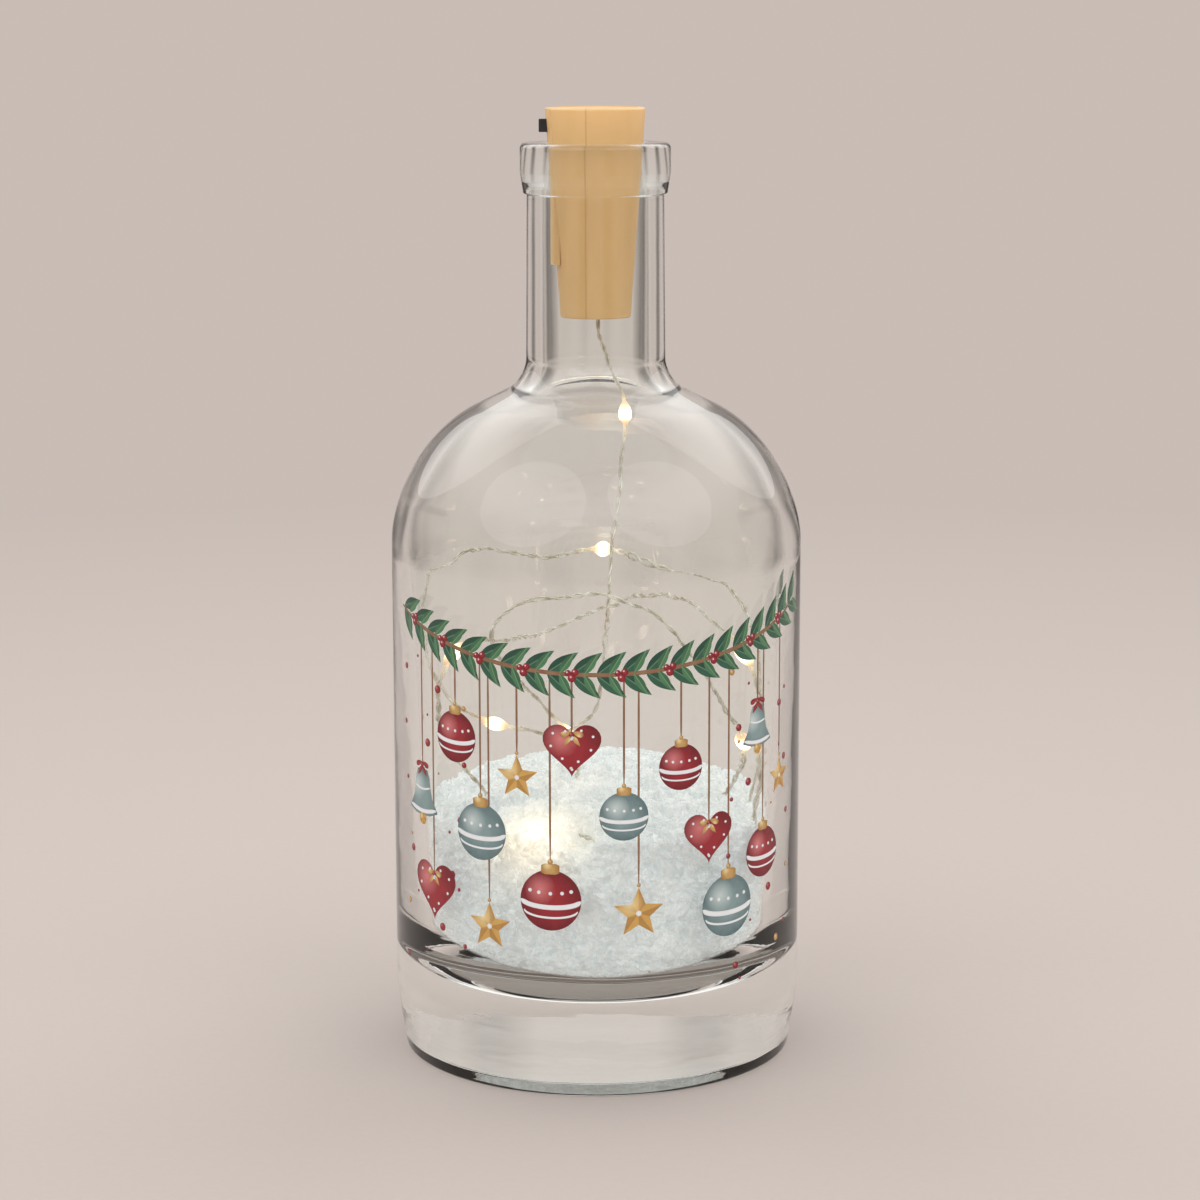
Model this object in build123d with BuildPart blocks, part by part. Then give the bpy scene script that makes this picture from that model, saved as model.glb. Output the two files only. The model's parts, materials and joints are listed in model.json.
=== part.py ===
"""Bottle lamp: a clear glass bottle part filled with white crystals, with a battery stopper shaped like a
cork in its mouth and a string of ten small lamps that hangs and lies loose inside.

Millimetres, +Z up. The origin is the middle of the bottle's foot ring. The printed front faces -Y and the
switch faces -X.
"""

import os
from math import cos, degrees, pi, radians, sin, sqrt, tan

from build123d import *

os.makedirs("parts", exist_ok=True)

# Driving dimensions of the bottle.
bottle_height = 200.5
body_r = 45.0
base_thickness = 17.2
cavity_low_r = 36.9
cavity_high_r = 42.5
heel_height = 13.0
foot_inset = 2.1
foot_land = 4.4
punt_depth = 2.4
punt_slope = 1.8
shoulder_height = 134.3
neck_height = 149.2
shoulder_wall = 4.0
neck_low_r = 15.25
neck_high_r = 14.9
bore_r = 11.4
lip_height = 10.9
lip_r = 16.35
lip_foot_r = 15.65
lip_slope = 4.5
mouth_land = 1.0
mouth_flare = 8.0

# Rounded corners of the bottle.
foot_round = 1.4
heel_round = 80.0
shoulder_round = 33.0
neck_round = 8.0
lip_under_round = 0.3
lip_foot_round = 0.35
lip_slope_round = 3.0
lip_high_round = 1.2
mouth_round = 0.35
bore_round = 11.6
cavity_round = 29.0
floor_round = 16.0
punt_round = 1.0

# Driving dimensions of the filling.
crystal_crest = 63.0
crystal_edge = 54.5
mound_round = 4.0
lump_size = (11.5, 10.0, 8.5)
lump_tilt = (53, 71, 29)
lump_turn = 137.5
lump_depth = 5.4
lump_jitter = 0.9
core_inset = 4.5
heap_lumps = 36
heap_edge = 3.0
wall_lumps = 66
wall_lump_low = 23.0
wall_lump_high = 53.0

# Driving dimensions of the stopper's shell.
stopper_length = 44.9
stopper_head = 7.5
stopper_low_r = 7.62
stopper_high_r = 10.85
stopper_low_round = 0.35
stopper_high_round = 0.5
shell_floor = 2.0
head_wall = 1.65
head_depth = 7.8
grommet_r = 1.1
grommet_flange_r = 2.4
grommet_flange = 1.5

# Driving dimensions of the battery tray and what it carries.
cell_r = 5.8
cell_height = 5.4
cell_count = 3
cell_cap_r = 4.6
cell_cap_height = 1.6
cell_seal = 0.35
cell_step = 0.25
cell_round = 0.3
cradle_wall = 0.9
cradle_floor = 1.2
cradle_mouth = 11.9
bulkhead = 1.2
leaf_height = 3.5
leaf_arch_r = 4.0
leaf_thickness = 0.25
leaf_width = 3.2
leaf_foot = 9.2
leaf_pin_r = 0.4
plate_r = 4.5
plate_thickness = 0.3
strap_width = 1.5
strap_y = 2.0
board_thickness = 0.8
board_drop = 2.6
resistor_length = 2.0
resistor_width = 1.25
resistor_height = 0.6
inner_wire_r = 0.2
inner_wire_spread = 0.9
switch_wire_r = 0.35
switch_wire_y = -2.0
tray_inset = 0.1
tray_top = 1.5
skirt_wall = 1.1
web_width = 11.6
web_thickness = 1.6
tongue_width = 9.6
tongue_r = 9.75
tongue_thickness = 1.0
tongue_length = 33.2

# Driving dimensions of the slide switch.
switch_width = 7.0
switch_depth = 3.6
switch_height = 4.4
switch_slot = 2.0
lever_width = 2.0
lever_height = 2.8
lever_stand = 1.5
lever_travel = 2.0
lever_round = 0.2

# Driving dimensions of the string and its lamps.
wire_r = 0.425
lamp_r = 1.45
lamp_length = 6.0
lamp_neck_r = 0.6
chip_length = 1.6
chip_width = 0.8
chip_thickness = 0.5

# Driving dimensions of the print.
ink_thickness = 0.15
ink_reach = 3.0
print_low = 22.0
garland_height = 92.5
garland_sag = 10.0
garland_half = 52.0
stem_width = 0.9
leaf_long = 8.0
leaf_broad = 2.6
ornament_r = 6.0
thread_width = 0.45
dot_r = 0.6

# Clearances, one overrun for every cut, and the share of a run that its arcs may take.
seat_clearance = 0.06
running_clearance = 0.08
loose_clearance = 0.15
fill_clearance = 0.3
overrun = 2.0
arc_share = 0.45

# The string's route. Its first stretch hangs from the stopper to the second lamp. Each later stretch starts
# with the run that a lamp sits on, so lamps two to ten take the first run of one stretch each.
lead_points = [
    (0.5, 0.0, 163.1),
    (0.5, 0.0, 159.6),
    (1.6, -0.6, 155.4),
    (4.2, -1.8, 149.8),
    (6.2, -2.8, 143.8),
    (6.4, -3.2, 137.2),
    (5.6, -3.8, 128.5),
    (4.2, -5.2, 119.5),
    (2.8, -7.8, 110.5),
    (3.2, -9.8, 101.0),
    (1.8, -11.4, 92.4),
    (1.6, -12.8, 85.0),
    (0.4, -14.8, 79.0),
    (-3.2, -16.8, 74.8),
    (-8.4, -18.2, 73.2),
    (-13.4, -18.2, 74.2),
    (-18.4, -17.4, 75.2),
]
lead_lamp_run = 4
string_stretches = [
    [
        (-18.4, -17.4, 75.2),
        (-24.6, -16.4, 76.4),
        (-31.4, -13.2, 79.8),
        (-36.6, -7.6, 87.4),
        (-39.6, 1.0, 97.0),
        (-38.4, 10.4, 104.0),
        (-34.4, 18.6, 108.8),
        (-27.8, 26.0, 109.4),
        (-19.4, 30.8, 108.2),
        (-10.2, 33.0, 106.8),
    ],
    [
        (-2.4, 33.4, 108.2),
        (4.8, 33.2, 108.2),
        (12.4, 32.0, 106.6),
        (21.4, 29.0, 104.2),
        (28.6, 24.2, 101.0),
        (33.4, 17.4, 96.4),
        (36.2, 10.0, 89.6),
        (37.4, 3.6, 81.6),
    ],
    [
        (37.2, -0.2, 74.2),
        (36.2, -3.0, 66.8),
        (34.6, -4.4, 58.4),
        (32.4, -6.0, 50.4),
        (30.9, -9.2, 44.4),
        (30.1, -14.8, 41.8),
        (30.5, -19.6, 45.8),
        (31.6, -20.6, 53.6),
        (33.0, -19.2, 62.4),
        (33.6, -18.8, 71.4),
        (34.2, -18.0, 80.4),
    ],
    [
        (32.6, -19.0, 88.6),
        (28.8, -19.6, 94.8),
        (25.0, -17.0, 99.0),
        (19.8, -10.6, 101.6),
        (13.6, -0.8, 101.2),
        (8.0, 9.2, 97.8),
        (1.6, 16.2, 93.8),
        (-5.6, 18.2, 91.2),
        (-12.4, 14.2, 89.2),
        (-17.6, 5.8, 89.4),
        (-22.2, -4.4, 91.6),
        (-25.4, -13.0, 93.6),
    ],
    [
        (-28.4, -18.2, 94.0),
        (-31.4, -20.8, 90.2),
        (-32.6, -21.2, 83.0),
        (-32.0, -19.4, 74.0),
        (-28.6, -15.2, 65.6),
        (-23.4, -12.2, 58.4),
        (-18.6, -14.6, 52.6),
        (-17.2, -21.0, 49.8),
        (-18.2, -27.2, 52.0),
    ],
    [
        (-15.2, -30.6, 55.2),
        (-9.4, -31.4, 55.8),
        (-3.0, -30.4, 54.6),
        (4.6, -26.4, 51.6),
        (10.4, -18.6, 48.0),
        (12.6, -8.4, 44.8),
        (10.2, 1.8, 42.6),
        (3.8, 8.6, 42.2),
        (-4.2, 9.4, 44.2),
        (-8.6, 4.6, 48.8),
        (-7.6, -1.6, 54.8),
        (-4.0, -6.8, 60.6),
        (-3.4, -10.6, 65.8),
    ],
    [
        (-4.6, -12.4, 70.2),
        (-8.2, -13.6, 75.2),
        (-12.8, -16.0, 81.0),
        (-17.8, -19.4, 87.0),
        (-21.2, -20.8, 92.0),
        (-22.2, -20.4, 97.0),
        (-19.6, -18.0, 100.8),
        (-14.2, -15.6, 102.8),
        (-7.0, -15.2, 103.8),
        (0.8, -17.0, 104.2),
        (7.4, -19.8, 103.0),
        (13.2, -22.4, 100.2),
        (18.2, -25.0, 95.6),
        (22.6, -27.0, 88.8),
        (26.0, -27.0, 82.0),
    ],
    [
        (29.0, -24.6, 76.4),
        (31.0, -20.2, 70.6),
        (29.6, -12.4, 61.4),
        (26.8, -2.4, 52.8),
        (24.4, 8.8, 46.0),
        (19.6, 18.4, 41.4),
        (12.0, 24.6, 38.6),
    ],
    [
        (4.0, 27.6, 37.4),
        (-3.2, 28.2, 37.0),
    ],
]

# Heights and radii that follow from the sizes above.
stopper_high = bottle_height + stopper_head
stopper_low = stopper_high - stopper_length
recess_floor = stopper_high - head_depth
recess_r = stopper_high_r - head_wall
cradle_r = cell_r + running_clearance + cradle_wall
shell_bore_r = cradle_r + loose_clearance
tongue_slot_r = tongue_r - tongue_thickness - loose_clearance
strap_x = -(cell_r + plate_thickness / 2)
strap_slot = strap_width + 2 * running_clearance
switch_wire_x = -sqrt((cradle_r - cradle_wall / 2) ** 2 - switch_wire_y**2)
wire_slot = 2 * (switch_wire_r + running_clearance)
grommet_low = stopper_low + shell_floor
grommet_high = grommet_low + grommet_flange
board_low = grommet_high + board_drop
cradle_low = board_low + board_thickness
leaf_low = cradle_low + cradle_floor
stack_low = leaf_low + leaf_height
stack_high = stack_low + cell_count * cell_height
bulkhead_low = stack_high + plate_thickness
bulkhead_high = bulkhead_low + bulkhead
tray_high = stopper_high - tray_inset
tray_head_r = recess_r - running_clearance
skirt_r = tray_head_r - skirt_wall
switch_high = tray_high - tray_top
switch_low = switch_high - switch_height
switch_x = running_clearance - sqrt(skirt_r**2 - (switch_width / 2) ** 2)
switch_back = switch_x + switch_depth
lever_low = switch_low + (switch_height - lever_height) / 2
lever_high = lever_low + lever_height
lever_y = -lever_travel / 2
window_width = lever_width + lever_travel + 2 * running_clearance
window_low = lever_low - running_clearance
window_height = lever_height + 2 * running_clearance
tongue_low = tray_high - tongue_length
cut_r = stopper_high_r + overrun


def stopper_radius(height):
    """Outer radius of the tapered stopper at a height."""
    rise = (height - stopper_low) / stopper_length
    return stopper_low_r + (stopper_high_r - stopper_low_r) * rise


def shoulder_line(radius):
    """Height of the shoulder's straight flank at a radius."""
    run = (body_r - radius) / (body_r - neck_low_r)
    return shoulder_height + (neck_height - shoulder_height) * run


def cavity_radius(height):
    """Radius of the cavity's side at a height below the shoulder."""
    rise = (height - base_thickness) / (cavity_high - base_thickness)
    return cavity_low_r + (cavity_high_r - cavity_low_r) * rise


def keep(piece, name):
    """Label a finished piece and write it under its name."""
    piece.part.label = name
    export_step(piece.part, f"parts/{name}.step")


cavity_high = shoulder_line(cavity_high_r) - shoulder_wall
mouth_r = stopper_radius(bottle_height) + seat_clearance
lip_low = bottle_height - lip_height

# Bottle. One outline, turned about the axis: foot ring, heel, body, shoulder, neck, lip, mouth and cavity.
outline = [
    (0, punt_depth),
    (body_r - foot_inset - foot_land - punt_slope, punt_depth),
    (body_r - foot_inset - foot_land, 0),
    (body_r - foot_inset, 0),
    (body_r, heel_height),
    (body_r, shoulder_height),
    (neck_low_r, neck_height),
    (neck_high_r, lip_low),
    (lip_foot_r, lip_low),
    (lip_r, lip_low + lip_slope),
    (lip_r, bottle_height),
    (mouth_r, bottle_height),
    (mouth_r, bottle_height - mouth_land),
    (bore_r, bottle_height - mouth_land - mouth_flare),
    (bore_r, shoulder_line(bore_r) - shoulder_wall),
    (cavity_high_r, cavity_high),
    (cavity_low_r, base_thickness),
    (0, base_thickness),
]
rounds = [0, punt_round, 0, foot_round, heel_round, shoulder_round, neck_round, lip_under_round]
rounds += [lip_foot_round, lip_slope_round, lip_high_round, mouth_round, 0, 0, bore_round, cavity_round, floor_round, 0]

with BuildPart() as bottle:
    with BuildSketch(Plane.XZ) as bottle_half:
        with BuildLine():
            Polyline(*outline, close=True)
        make_face()
        for corner, size in zip(outline, rounds):
            if size:
                fillet(bottle_half.vertices().sort_by_distance(corner)[0], size)
    revolve(axis=Axis.Z)
keep(bottle, "bottle")

# Crystals. They fill the cavity's foot just clear of the glass, under a low mound. Its coarse lumps lie in a
# spiral over the top and another along the wall, each tilted its own way and trimmed by the room that there is.
fill_low = base_thickness + fill_clearance
fill_low_r = cavity_low_r - fill_clearance
fill_high_r = cavity_radius(crystal_edge) - fill_clearance
mound_rise = crystal_crest - crystal_edge
mound_r = (fill_high_r**2 + mound_rise**2) / (2 * mound_rise)


def mound_height(reach):
    """Height of the mound's top, that far from the axis."""
    return crystal_crest - mound_r + sqrt(mound_r**2 - reach**2)


def wall_reach(height):
    """Radius of the filling at a height on its wall, with its round foot."""
    short = floor_round - min(height - fill_low, floor_round)
    return cavity_radius(height) - fill_clearance - floor_round + sqrt(floor_round**2 - short**2)


def lump_place(reach, height, number):
    """Where a lump lies on its spiral, and its own tilt."""
    turn = radians(lump_turn * number)
    return Location((reach * cos(turn), reach * sin(turn), height), [angle * number for angle in lump_tilt])


def fill_outline(inset):
    """Half outline of the filling, that far inside the room that there is for it."""
    low_r, high_r = fill_low_r - inset, fill_high_r - inset
    with BuildSketch(Plane.XZ) as half:
        with BuildLine():
            Polyline((0, crystal_crest - inset), (0, fill_low), (low_r, fill_low), (high_r, crystal_edge - inset))
            ThreePointArc((high_r, crystal_edge - inset), (fill_high_r / 2, mound_height(fill_high_r / 2) - inset),
                          (0, crystal_crest - inset))
        make_face()
        fillet(half.vertices().sort_by_distance((low_r, fill_low))[0], floor_round - inset)
        if not inset:
            fillet(half.vertices().sort_by_distance((high_r, crystal_edge))[0], mound_round)
    return half.sketch


lump_places = []
for number in range(heap_lumps):
    depth = lump_depth + lump_jitter * sin(number)
    reach = (fill_high_r - heap_edge) * sqrt((number + 0.5) / heap_lumps)
    lump_places.append(lump_place(reach, mound_height(reach) - depth, number))
for number in range(wall_lumps):
    depth = lump_depth + lump_jitter * sin(number)
    height = wall_lump_low + (wall_lump_high - wall_lump_low) * (number + 0.5) / wall_lumps
    lump_places.append(lump_place(wall_reach(height) - depth, height, number))

with BuildPart() as crystal_fill:
    revolve(fill_outline(core_inset), axis=Axis.Z)
    with Locations(*lump_places):
        Box(*lump_size)
    revolve(fill_outline(0), axis=Axis.Z, mode=Mode.INTERSECT)
keep(crystal_fill, "crystal_fill")

# Stopper shell. A tapered sleeve with a floor, a stepped head and a slot down its -X side for the tongue.
with BuildPart() as cork_shell:
    with BuildSketch(Plane.XZ) as shell_half:
        with BuildLine():
            Polyline(
                (grommet_r, stopper_low), (stopper_low_r, stopper_low), (stopper_high_r, stopper_high),
                (recess_r, stopper_high), (recess_r, recess_floor), (shell_bore_r, recess_floor),
                (shell_bore_r, grommet_low), (grommet_r, grommet_low), close=True,
            )
        make_face()
        fillet(shell_half.vertices().sort_by_distance((stopper_low_r, stopper_low))[0], stopper_low_round)
        fillet(shell_half.vertices().sort_by_distance((stopper_high_r, stopper_high))[0], stopper_high_round)
    revolve(axis=Axis.Z)
    with BuildSketch(Plane.XY.offset(tongue_low - loose_clearance)):
        Circle(cut_r)
        Circle(tongue_slot_r, mode=Mode.SUBTRACT)
        Rectangle(cut_r, tongue_width + 2 * running_clearance, align=(Align.MAX, Align.CENTER),
                  mode=Mode.INTERSECT)
    extrude(amount=tongue_length + overrun, mode=Mode.SUBTRACT)
keep(cork_shell, "cork_shell")

# Seal in the shell's floor, where the string comes out.
with BuildPart() as wire_grommet:
    with BuildSketch(Plane.XY.offset(stopper_low)):
        Circle(grommet_r)
    extrude(amount=shell_floor)
    with BuildSketch(Plane.XY.offset(grommet_low)):
        Circle(grommet_flange_r)
    extrude(amount=grommet_flange)
keep(wire_grommet, "wire_grommet")

# Tongue of the battery tray. It follows the stopper's taper below the head, then hangs straight.
tongue_meet = stopper_low + stopper_length * (tongue_r - stopper_low_r) / (stopper_high_r - stopper_low_r)
with BuildPart() as tongue:
    with BuildSketch(Plane.XZ):
        with BuildLine():
            Polyline(
                (tongue_r - tongue_thickness, tongue_low), (tongue_r, tongue_low), (tongue_r, tongue_meet),
                (stopper_radius(tray_high - tray_inset), tray_high - tray_inset),
                (stopper_radius(tray_high) - tray_inset, tray_high), (skirt_r, tray_high),
                (skirt_r, recess_floor), (tongue_r - tongue_thickness, recess_floor), close=True,
            )
        make_face()
    revolve(axis=Axis.Z)
    with BuildSketch(Plane.XY.offset(tongue_low)):
        Rectangle(cut_r, tongue_width, align=(Align.MAX, Align.CENTER))
    extrude(amount=tongue_length, mode=Mode.INTERSECT)

# Battery tray. A head with a skirt and the tongue, a web, and a cradle for the cells that opens to +X.
with BuildPart() as battery_tray:
    with BuildSketch(Plane.XY.offset(recess_floor)):
        Circle(tray_head_r)
    extrude(amount=tray_high - recess_floor)
    with BuildSketch(Plane.XY.offset(recess_floor)):
        Circle(skirt_r)
    extrude(amount=switch_high - recess_floor, mode=Mode.SUBTRACT)
    add(tongue.part)
    with BuildSketch(Plane.XY.offset(cradle_low)):
        Circle(cradle_r)
    extrude(amount=bulkhead_high - cradle_low)
    with BuildSketch(Plane.XY.offset(leaf_low)):
        Circle(cell_r + running_clearance)
        Rectangle(cradle_r + overrun, cradle_mouth, align=(Align.MIN, Align.CENTER))
    extrude(amount=bulkhead_low - leaf_low, mode=Mode.SUBTRACT)
    with BuildSketch(Plane.XY.offset(bulkhead_high)):
        with Locations((switch_back, 0)):
            Rectangle(web_thickness, web_width, align=(Align.MIN, Align.CENTER))
    extrude(amount=switch_high - bulkhead_high)
    with BuildSketch(Plane.XY.offset(cradle_low)):
        Circle(leaf_pin_r + running_clearance)
    extrude(amount=leaf_low - cradle_low, mode=Mode.SUBTRACT)
    with BuildSketch(Plane.XY.offset(cradle_low)):
        with Locations((switch_wire_x + wire_slot / 2, switch_wire_y)):
            Rectangle(cradle_r, wire_slot, align=(Align.MAX, Align.CENTER))
    extrude(amount=bulkhead_high - cradle_low, mode=Mode.SUBTRACT)
    with BuildSketch(Plane.XY.offset(stack_high - running_clearance)):
        with Locations((0, strap_y)):
            Rectangle(cradle_r, strap_slot, align=(Align.MAX, Align.CENTER))
    extrude(amount=plate_thickness + running_clearance, mode=Mode.SUBTRACT)
    with BuildSketch(Plane.XY.offset(bulkhead_low)):
        with Locations((strap_x + plate_thickness / 2 + running_clearance, strap_y)):
            Rectangle(cradle_r, strap_slot, align=(Align.MAX, Align.CENTER))
    extrude(amount=bulkhead, mode=Mode.SUBTRACT)
    with BuildSketch(Plane.XY.offset(window_low)):
        with Locations((switch_x, 0)):
            Rectangle(cut_r, window_width, align=(Align.MAX, Align.CENTER))
    extrude(amount=window_height, mode=Mode.SUBTRACT)
keep(battery_tray, "battery_tray")

# Slide switch and its lever. The switch seats between the head's skirt and the web.
with BuildPart() as switch_body:
    with BuildSketch(Plane.XY.offset(switch_low)):
        with Locations((switch_x, 0)):
            Rectangle(switch_depth, switch_width, align=(Align.MIN, Align.CENTER))
    extrude(amount=switch_height)
    with BuildSketch(Plane.XY.offset(window_low)):
        with Locations((switch_x, 0)):
            Rectangle(switch_slot, window_width, align=(Align.MIN, Align.CENTER))
    extrude(amount=window_height, mode=Mode.SUBTRACT)
keep(switch_body, "switch_body")

lever_end = -stopper_radius(lever_high) - lever_stand
with BuildPart() as switch_lever:
    with BuildSketch(Plane.XY.offset(lever_low)):
        with Locations((lever_end, lever_y)):
            Rectangle(switch_x + switch_slot - running_clearance - lever_end, lever_width,
                      align=(Align.MIN, Align.CENTER))
    extrude(amount=lever_height)
    fillet(switch_lever.faces().sort_by(Axis.X)[0].edges(), lever_round)
keep(switch_lever, "switch_lever")

# Cells. Each has a can, a seal ring and a cap, with the cap down.
for number in range(cell_count):
    cell_low = stack_low + number * cell_height
    cell_high = cell_low + cell_height
    seal_r = cell_cap_r + cell_seal

    with BuildPart() as cell_cap:
        with BuildSketch(Plane.XY.offset(cell_low)):
            Circle(cell_cap_r)
        extrude(amount=cell_cap_height)
        fillet(cell_cap.edges().group_by(Axis.Z)[0], cell_round)
    keep(cell_cap, f"cell_cap_{number + 1}")

    with BuildPart() as cell_ring:
        with BuildSketch(Plane.XY.offset(cell_low + cell_step)):
            Circle(seal_r)
            Circle(cell_cap_r, mode=Mode.SUBTRACT)
        extrude(amount=cell_cap_height - cell_step)
    keep(cell_ring, f"cell_seal_{number + 1}")

    with BuildPart() as cell_can:
        with BuildSketch(Plane.XY.offset(cell_low + cell_step)):
            Circle(cell_r)
        extrude(amount=cell_height - cell_step)
        fillet(cell_can.edges().filter_by(GeomType.CIRCLE), cell_round)
        with BuildSketch(Plane.XY.offset(cell_low + cell_step)):
            Circle(seal_r)
        extrude(amount=cell_cap_height - cell_step, mode=Mode.SUBTRACT)
    keep(cell_can, f"cell_can_{number + 1}")

# Contacts. An arched leaf presses up on the lowest cap, and a plate lies on the highest can, with a strap
# up to the switch.
with BuildPart() as contact_leaf:
    with BuildSketch(Plane.XZ.offset(-leaf_width / 2)):
        with Locations((0, stack_low - leaf_arch_r)):
            Circle(leaf_arch_r)
            Circle(leaf_arch_r - leaf_thickness, mode=Mode.SUBTRACT)
        with Locations((0, leaf_low)):
            Rectangle(leaf_foot, leaf_arch_r + leaf_height, align=(Align.CENTER, Align.MIN),
                      mode=Mode.INTERSECT)
            Rectangle(leaf_foot, leaf_thickness, align=(Align.CENTER, Align.MIN))
    extrude(amount=leaf_width)
    with BuildSketch(Plane.XY.offset(cradle_low)):
        Circle(leaf_pin_r)
    extrude(amount=leaf_low - cradle_low)
keep(contact_leaf, "contact_leaf")

with BuildPart() as contact_plate:
    with BuildSketch(Plane.XY.offset(stack_high)):
        Circle(plate_r)
        with Locations((strap_x - plate_thickness / 2, strap_y)):
            Rectangle(-strap_x, strap_width, align=(Align.MIN, Align.CENTER))
    extrude(amount=plate_thickness)
    with BuildSketch(Plane.XY.offset(stack_high)):
        with Locations((strap_x, strap_y)):
            Rectangle(plate_thickness, strap_width)
    extrude(amount=switch_low - stack_high)
keep(contact_plate, "contact_plate")

# Circuit board under the cradle, its resistor, the wire down from the switch, and the pair down to the seal.
with BuildPart() as circuit_board:
    with BuildSketch(Plane.XY.offset(board_low)):
        Circle(cradle_r - running_clearance)
    extrude(amount=board_thickness)
keep(circuit_board, "circuit_board")

with BuildPart() as resistor:
    with BuildSketch(Plane.XY.offset(board_low - resistor_height)):
        with Locations((cradle_r / 2, 0)):
            Rectangle(resistor_width, resistor_length)
    extrude(amount=resistor_height)
keep(resistor, "resistor")

with BuildPart() as switch_wire:
    with BuildSketch(Plane.XY.offset(cradle_low)):
        with Locations((switch_wire_x, switch_wire_y)):
            Circle(switch_wire_r)
    extrude(amount=switch_low - cradle_low)
keep(switch_wire, "switch_wire")

with BuildPart() as inner_wires:
    with BuildSketch(Plane.XY.offset(grommet_high)):
        with GridLocations(inner_wire_spread, 0, 2, 1):
            Circle(inner_wire_r)
    extrude(amount=board_drop)
keep(inner_wires, "inner_wires")


# String. A twisted pair is drawn as one round tube along straight runs and tangent arcs.
def corner_radii(points):
    """One arc radius for each inner point, as large as its two runs allow."""
    places = [Vector(*point) for point in points]
    radii = []
    for before, here, after in zip(places, places[1:], places[2:]):
        turn = radians((here - before).get_angle(after - here))
        run = min((here - before).length, (after - here).length)
        radii.append(arc_share * run / tan(turn / 2))
    return radii


def wire_tube(points, name):
    """The tube along a route, with its radii printed and its volume checked against its length."""
    radii = corner_radii(points)
    with BuildPart() as tube:
        with BuildLine():
            way = FilletPolyline(*points, radius=radii)
        with BuildSketch(Plane(way @ 0, z_dir=way % 0)):
            Circle(wire_r)
        sweep(path=way)
    expected = pi * wire_r**2 * way.length
    print(name, "length", round(way.length, 1), "smallest radius", round(min(radii), 2))
    print(name, "radii", [round(size, 1) for size in radii])
    print(name, "volume", round(tube.part.volume, 2), "expected", round(expected, 2))
    return tube


def lamp_pieces(start, end, number):
    """One lamp's chip and clear drop, half way along the run from start to end."""
    middle = (Vector(*start) + Vector(*end)) / 2
    along = (Vector(*end) - Vector(*start)).normalized()
    seat = Plane(middle, z_dir=along)
    flank = Plane(middle, x_dir=seat.x_dir, z_dir=-seat.y_dir)
    half = lamp_length / 2
    with BuildPart() as drop:
        with BuildSketch(flank):
            with BuildLine():
                Polyline((lamp_neck_r, half), (0, half), (0, -half), (lamp_neck_r, -half))
                ThreePointArc((lamp_neck_r, -half), (lamp_r, 0), (lamp_neck_r, half))
            make_face()
        revolve(axis=Axis(middle, along))
    keep(drop, f"led_drop_{number:02d}")
    with BuildPart() as chip:
        with BuildSketch(seat.offset(-chip_length / 2)):
            with Locations((wire_r + chip_thickness / 2, 0)):
                Rectangle(chip_thickness, chip_width)
        extrude(amount=chip_length)
    keep(chip, f"led_chip_{number:02d}")


keep(wire_tube(lead_points, "lead_wire"), "lead_wire")
string_points = [point for stretch in string_stretches for point in stretch]
keep(wire_tube(string_points, "light_string"), "light_string")

lamp_pieces(lead_points[lead_lamp_run], lead_points[lead_lamp_run + 1], 1)
for index, stretch in enumerate(string_stretches):
    lamp_pieces(stretch[0], stretch[1], index + 2)

# Print. Thin ink shapes on the front of the glass: a leafy garland, ornaments that hang from it on threads,
# and small dots. Each ornament has its place across the garland's half width, its place up from the print's
# foot to the garland, and its size as a share of the ornament radius.
leaf_pairs = 21
leaf_turn = 38
red_bauble_shares = [(-0.63, 0.78, 0.93), (-0.19, 0.31, 1.1), (0.35, 0.71, 0.83), (0.79, 0.4, 0.93)]
grey_bauble_shares = [(-0.5, 0.5, 1.03), (0.11, 0.57, 0.87), (0.58, 0.26, 1.13)]
grey_bell_shares = [(-0.85, 0.57, 1.07), (0.75, 0.79, 0.93)]
red_heart_shares = [(-0.77, 0.28, 1.23), (-0.1, 0.77, 1.1), (0.48, 0.48, 1.07)]
gold_star_shares = [(-0.33, 0.68, 0.8), (-0.46, 0.21, 0.87), (0.17, 0.27, 0.93), (0.92, 0.62, 0.7)]
cap_shares = (0.5, 0.4)
bell_shares = (0.45, 0.85, 0.75, 0.24)
waist_share = 0.45
stem_overlap_share = 0.1
dot_count = 46
dot_turn = 137.5
dot_band_share = 0.42
dot_swell_share = 0.5


def on_glass(arc, height, turn=0):
    """Plane on the glass at an arc length and a height, turned about its normal."""
    angle = arc / body_r
    across = Vector(cos(angle), sin(angle), 0)
    outward = Vector(sin(angle), -cos(angle), 0)
    lean = across * cos(radians(turn)) + Vector(0, 0, 1) * sin(radians(turn))
    return Plane((body_r * outward.X, body_r * outward.Y, height), x_dir=lean, z_dir=outward)


def garland_line(arc):
    """Height of the garland's stem at an arc length."""
    return garland_height + garland_sag * (arc / garland_half) ** 2


def bauble(size):
    """A ball with a small cap."""
    cap_width_share, cap_height_share = cap_shares
    Circle(size)
    with Locations((0, size)):
        Rectangle(size * cap_width_share, size * cap_height_share)


def bell(size):
    """A domed bell with a flared mouth and its clapper."""
    dome, mouth, drop, clapper = [share * size for share in bell_shares]
    Ellipse(dome, drop)
    Polygon((-dome, 0), (-mouth, -drop), (mouth, -drop), (dome, 0), align=None)
    with Locations((0, -drop)):
        Circle(clapper)


def heart(size):
    """A square on its corner with a round on each upper side."""
    shift = size * sqrt(2) / 4
    Rectangle(size, size, rotation=45)
    with Locations((-shift, shift), (shift, shift)):
        Circle(size / 2)


def star(size):
    """A five pointed star."""
    tips = []
    for step in range(10):
        reach = size * waist_share if step % 2 else size
        tips.append((reach * sin(step * pi / 5), reach * cos(step * pi / 5)))
    Polygon(*tips, align=None)


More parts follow.
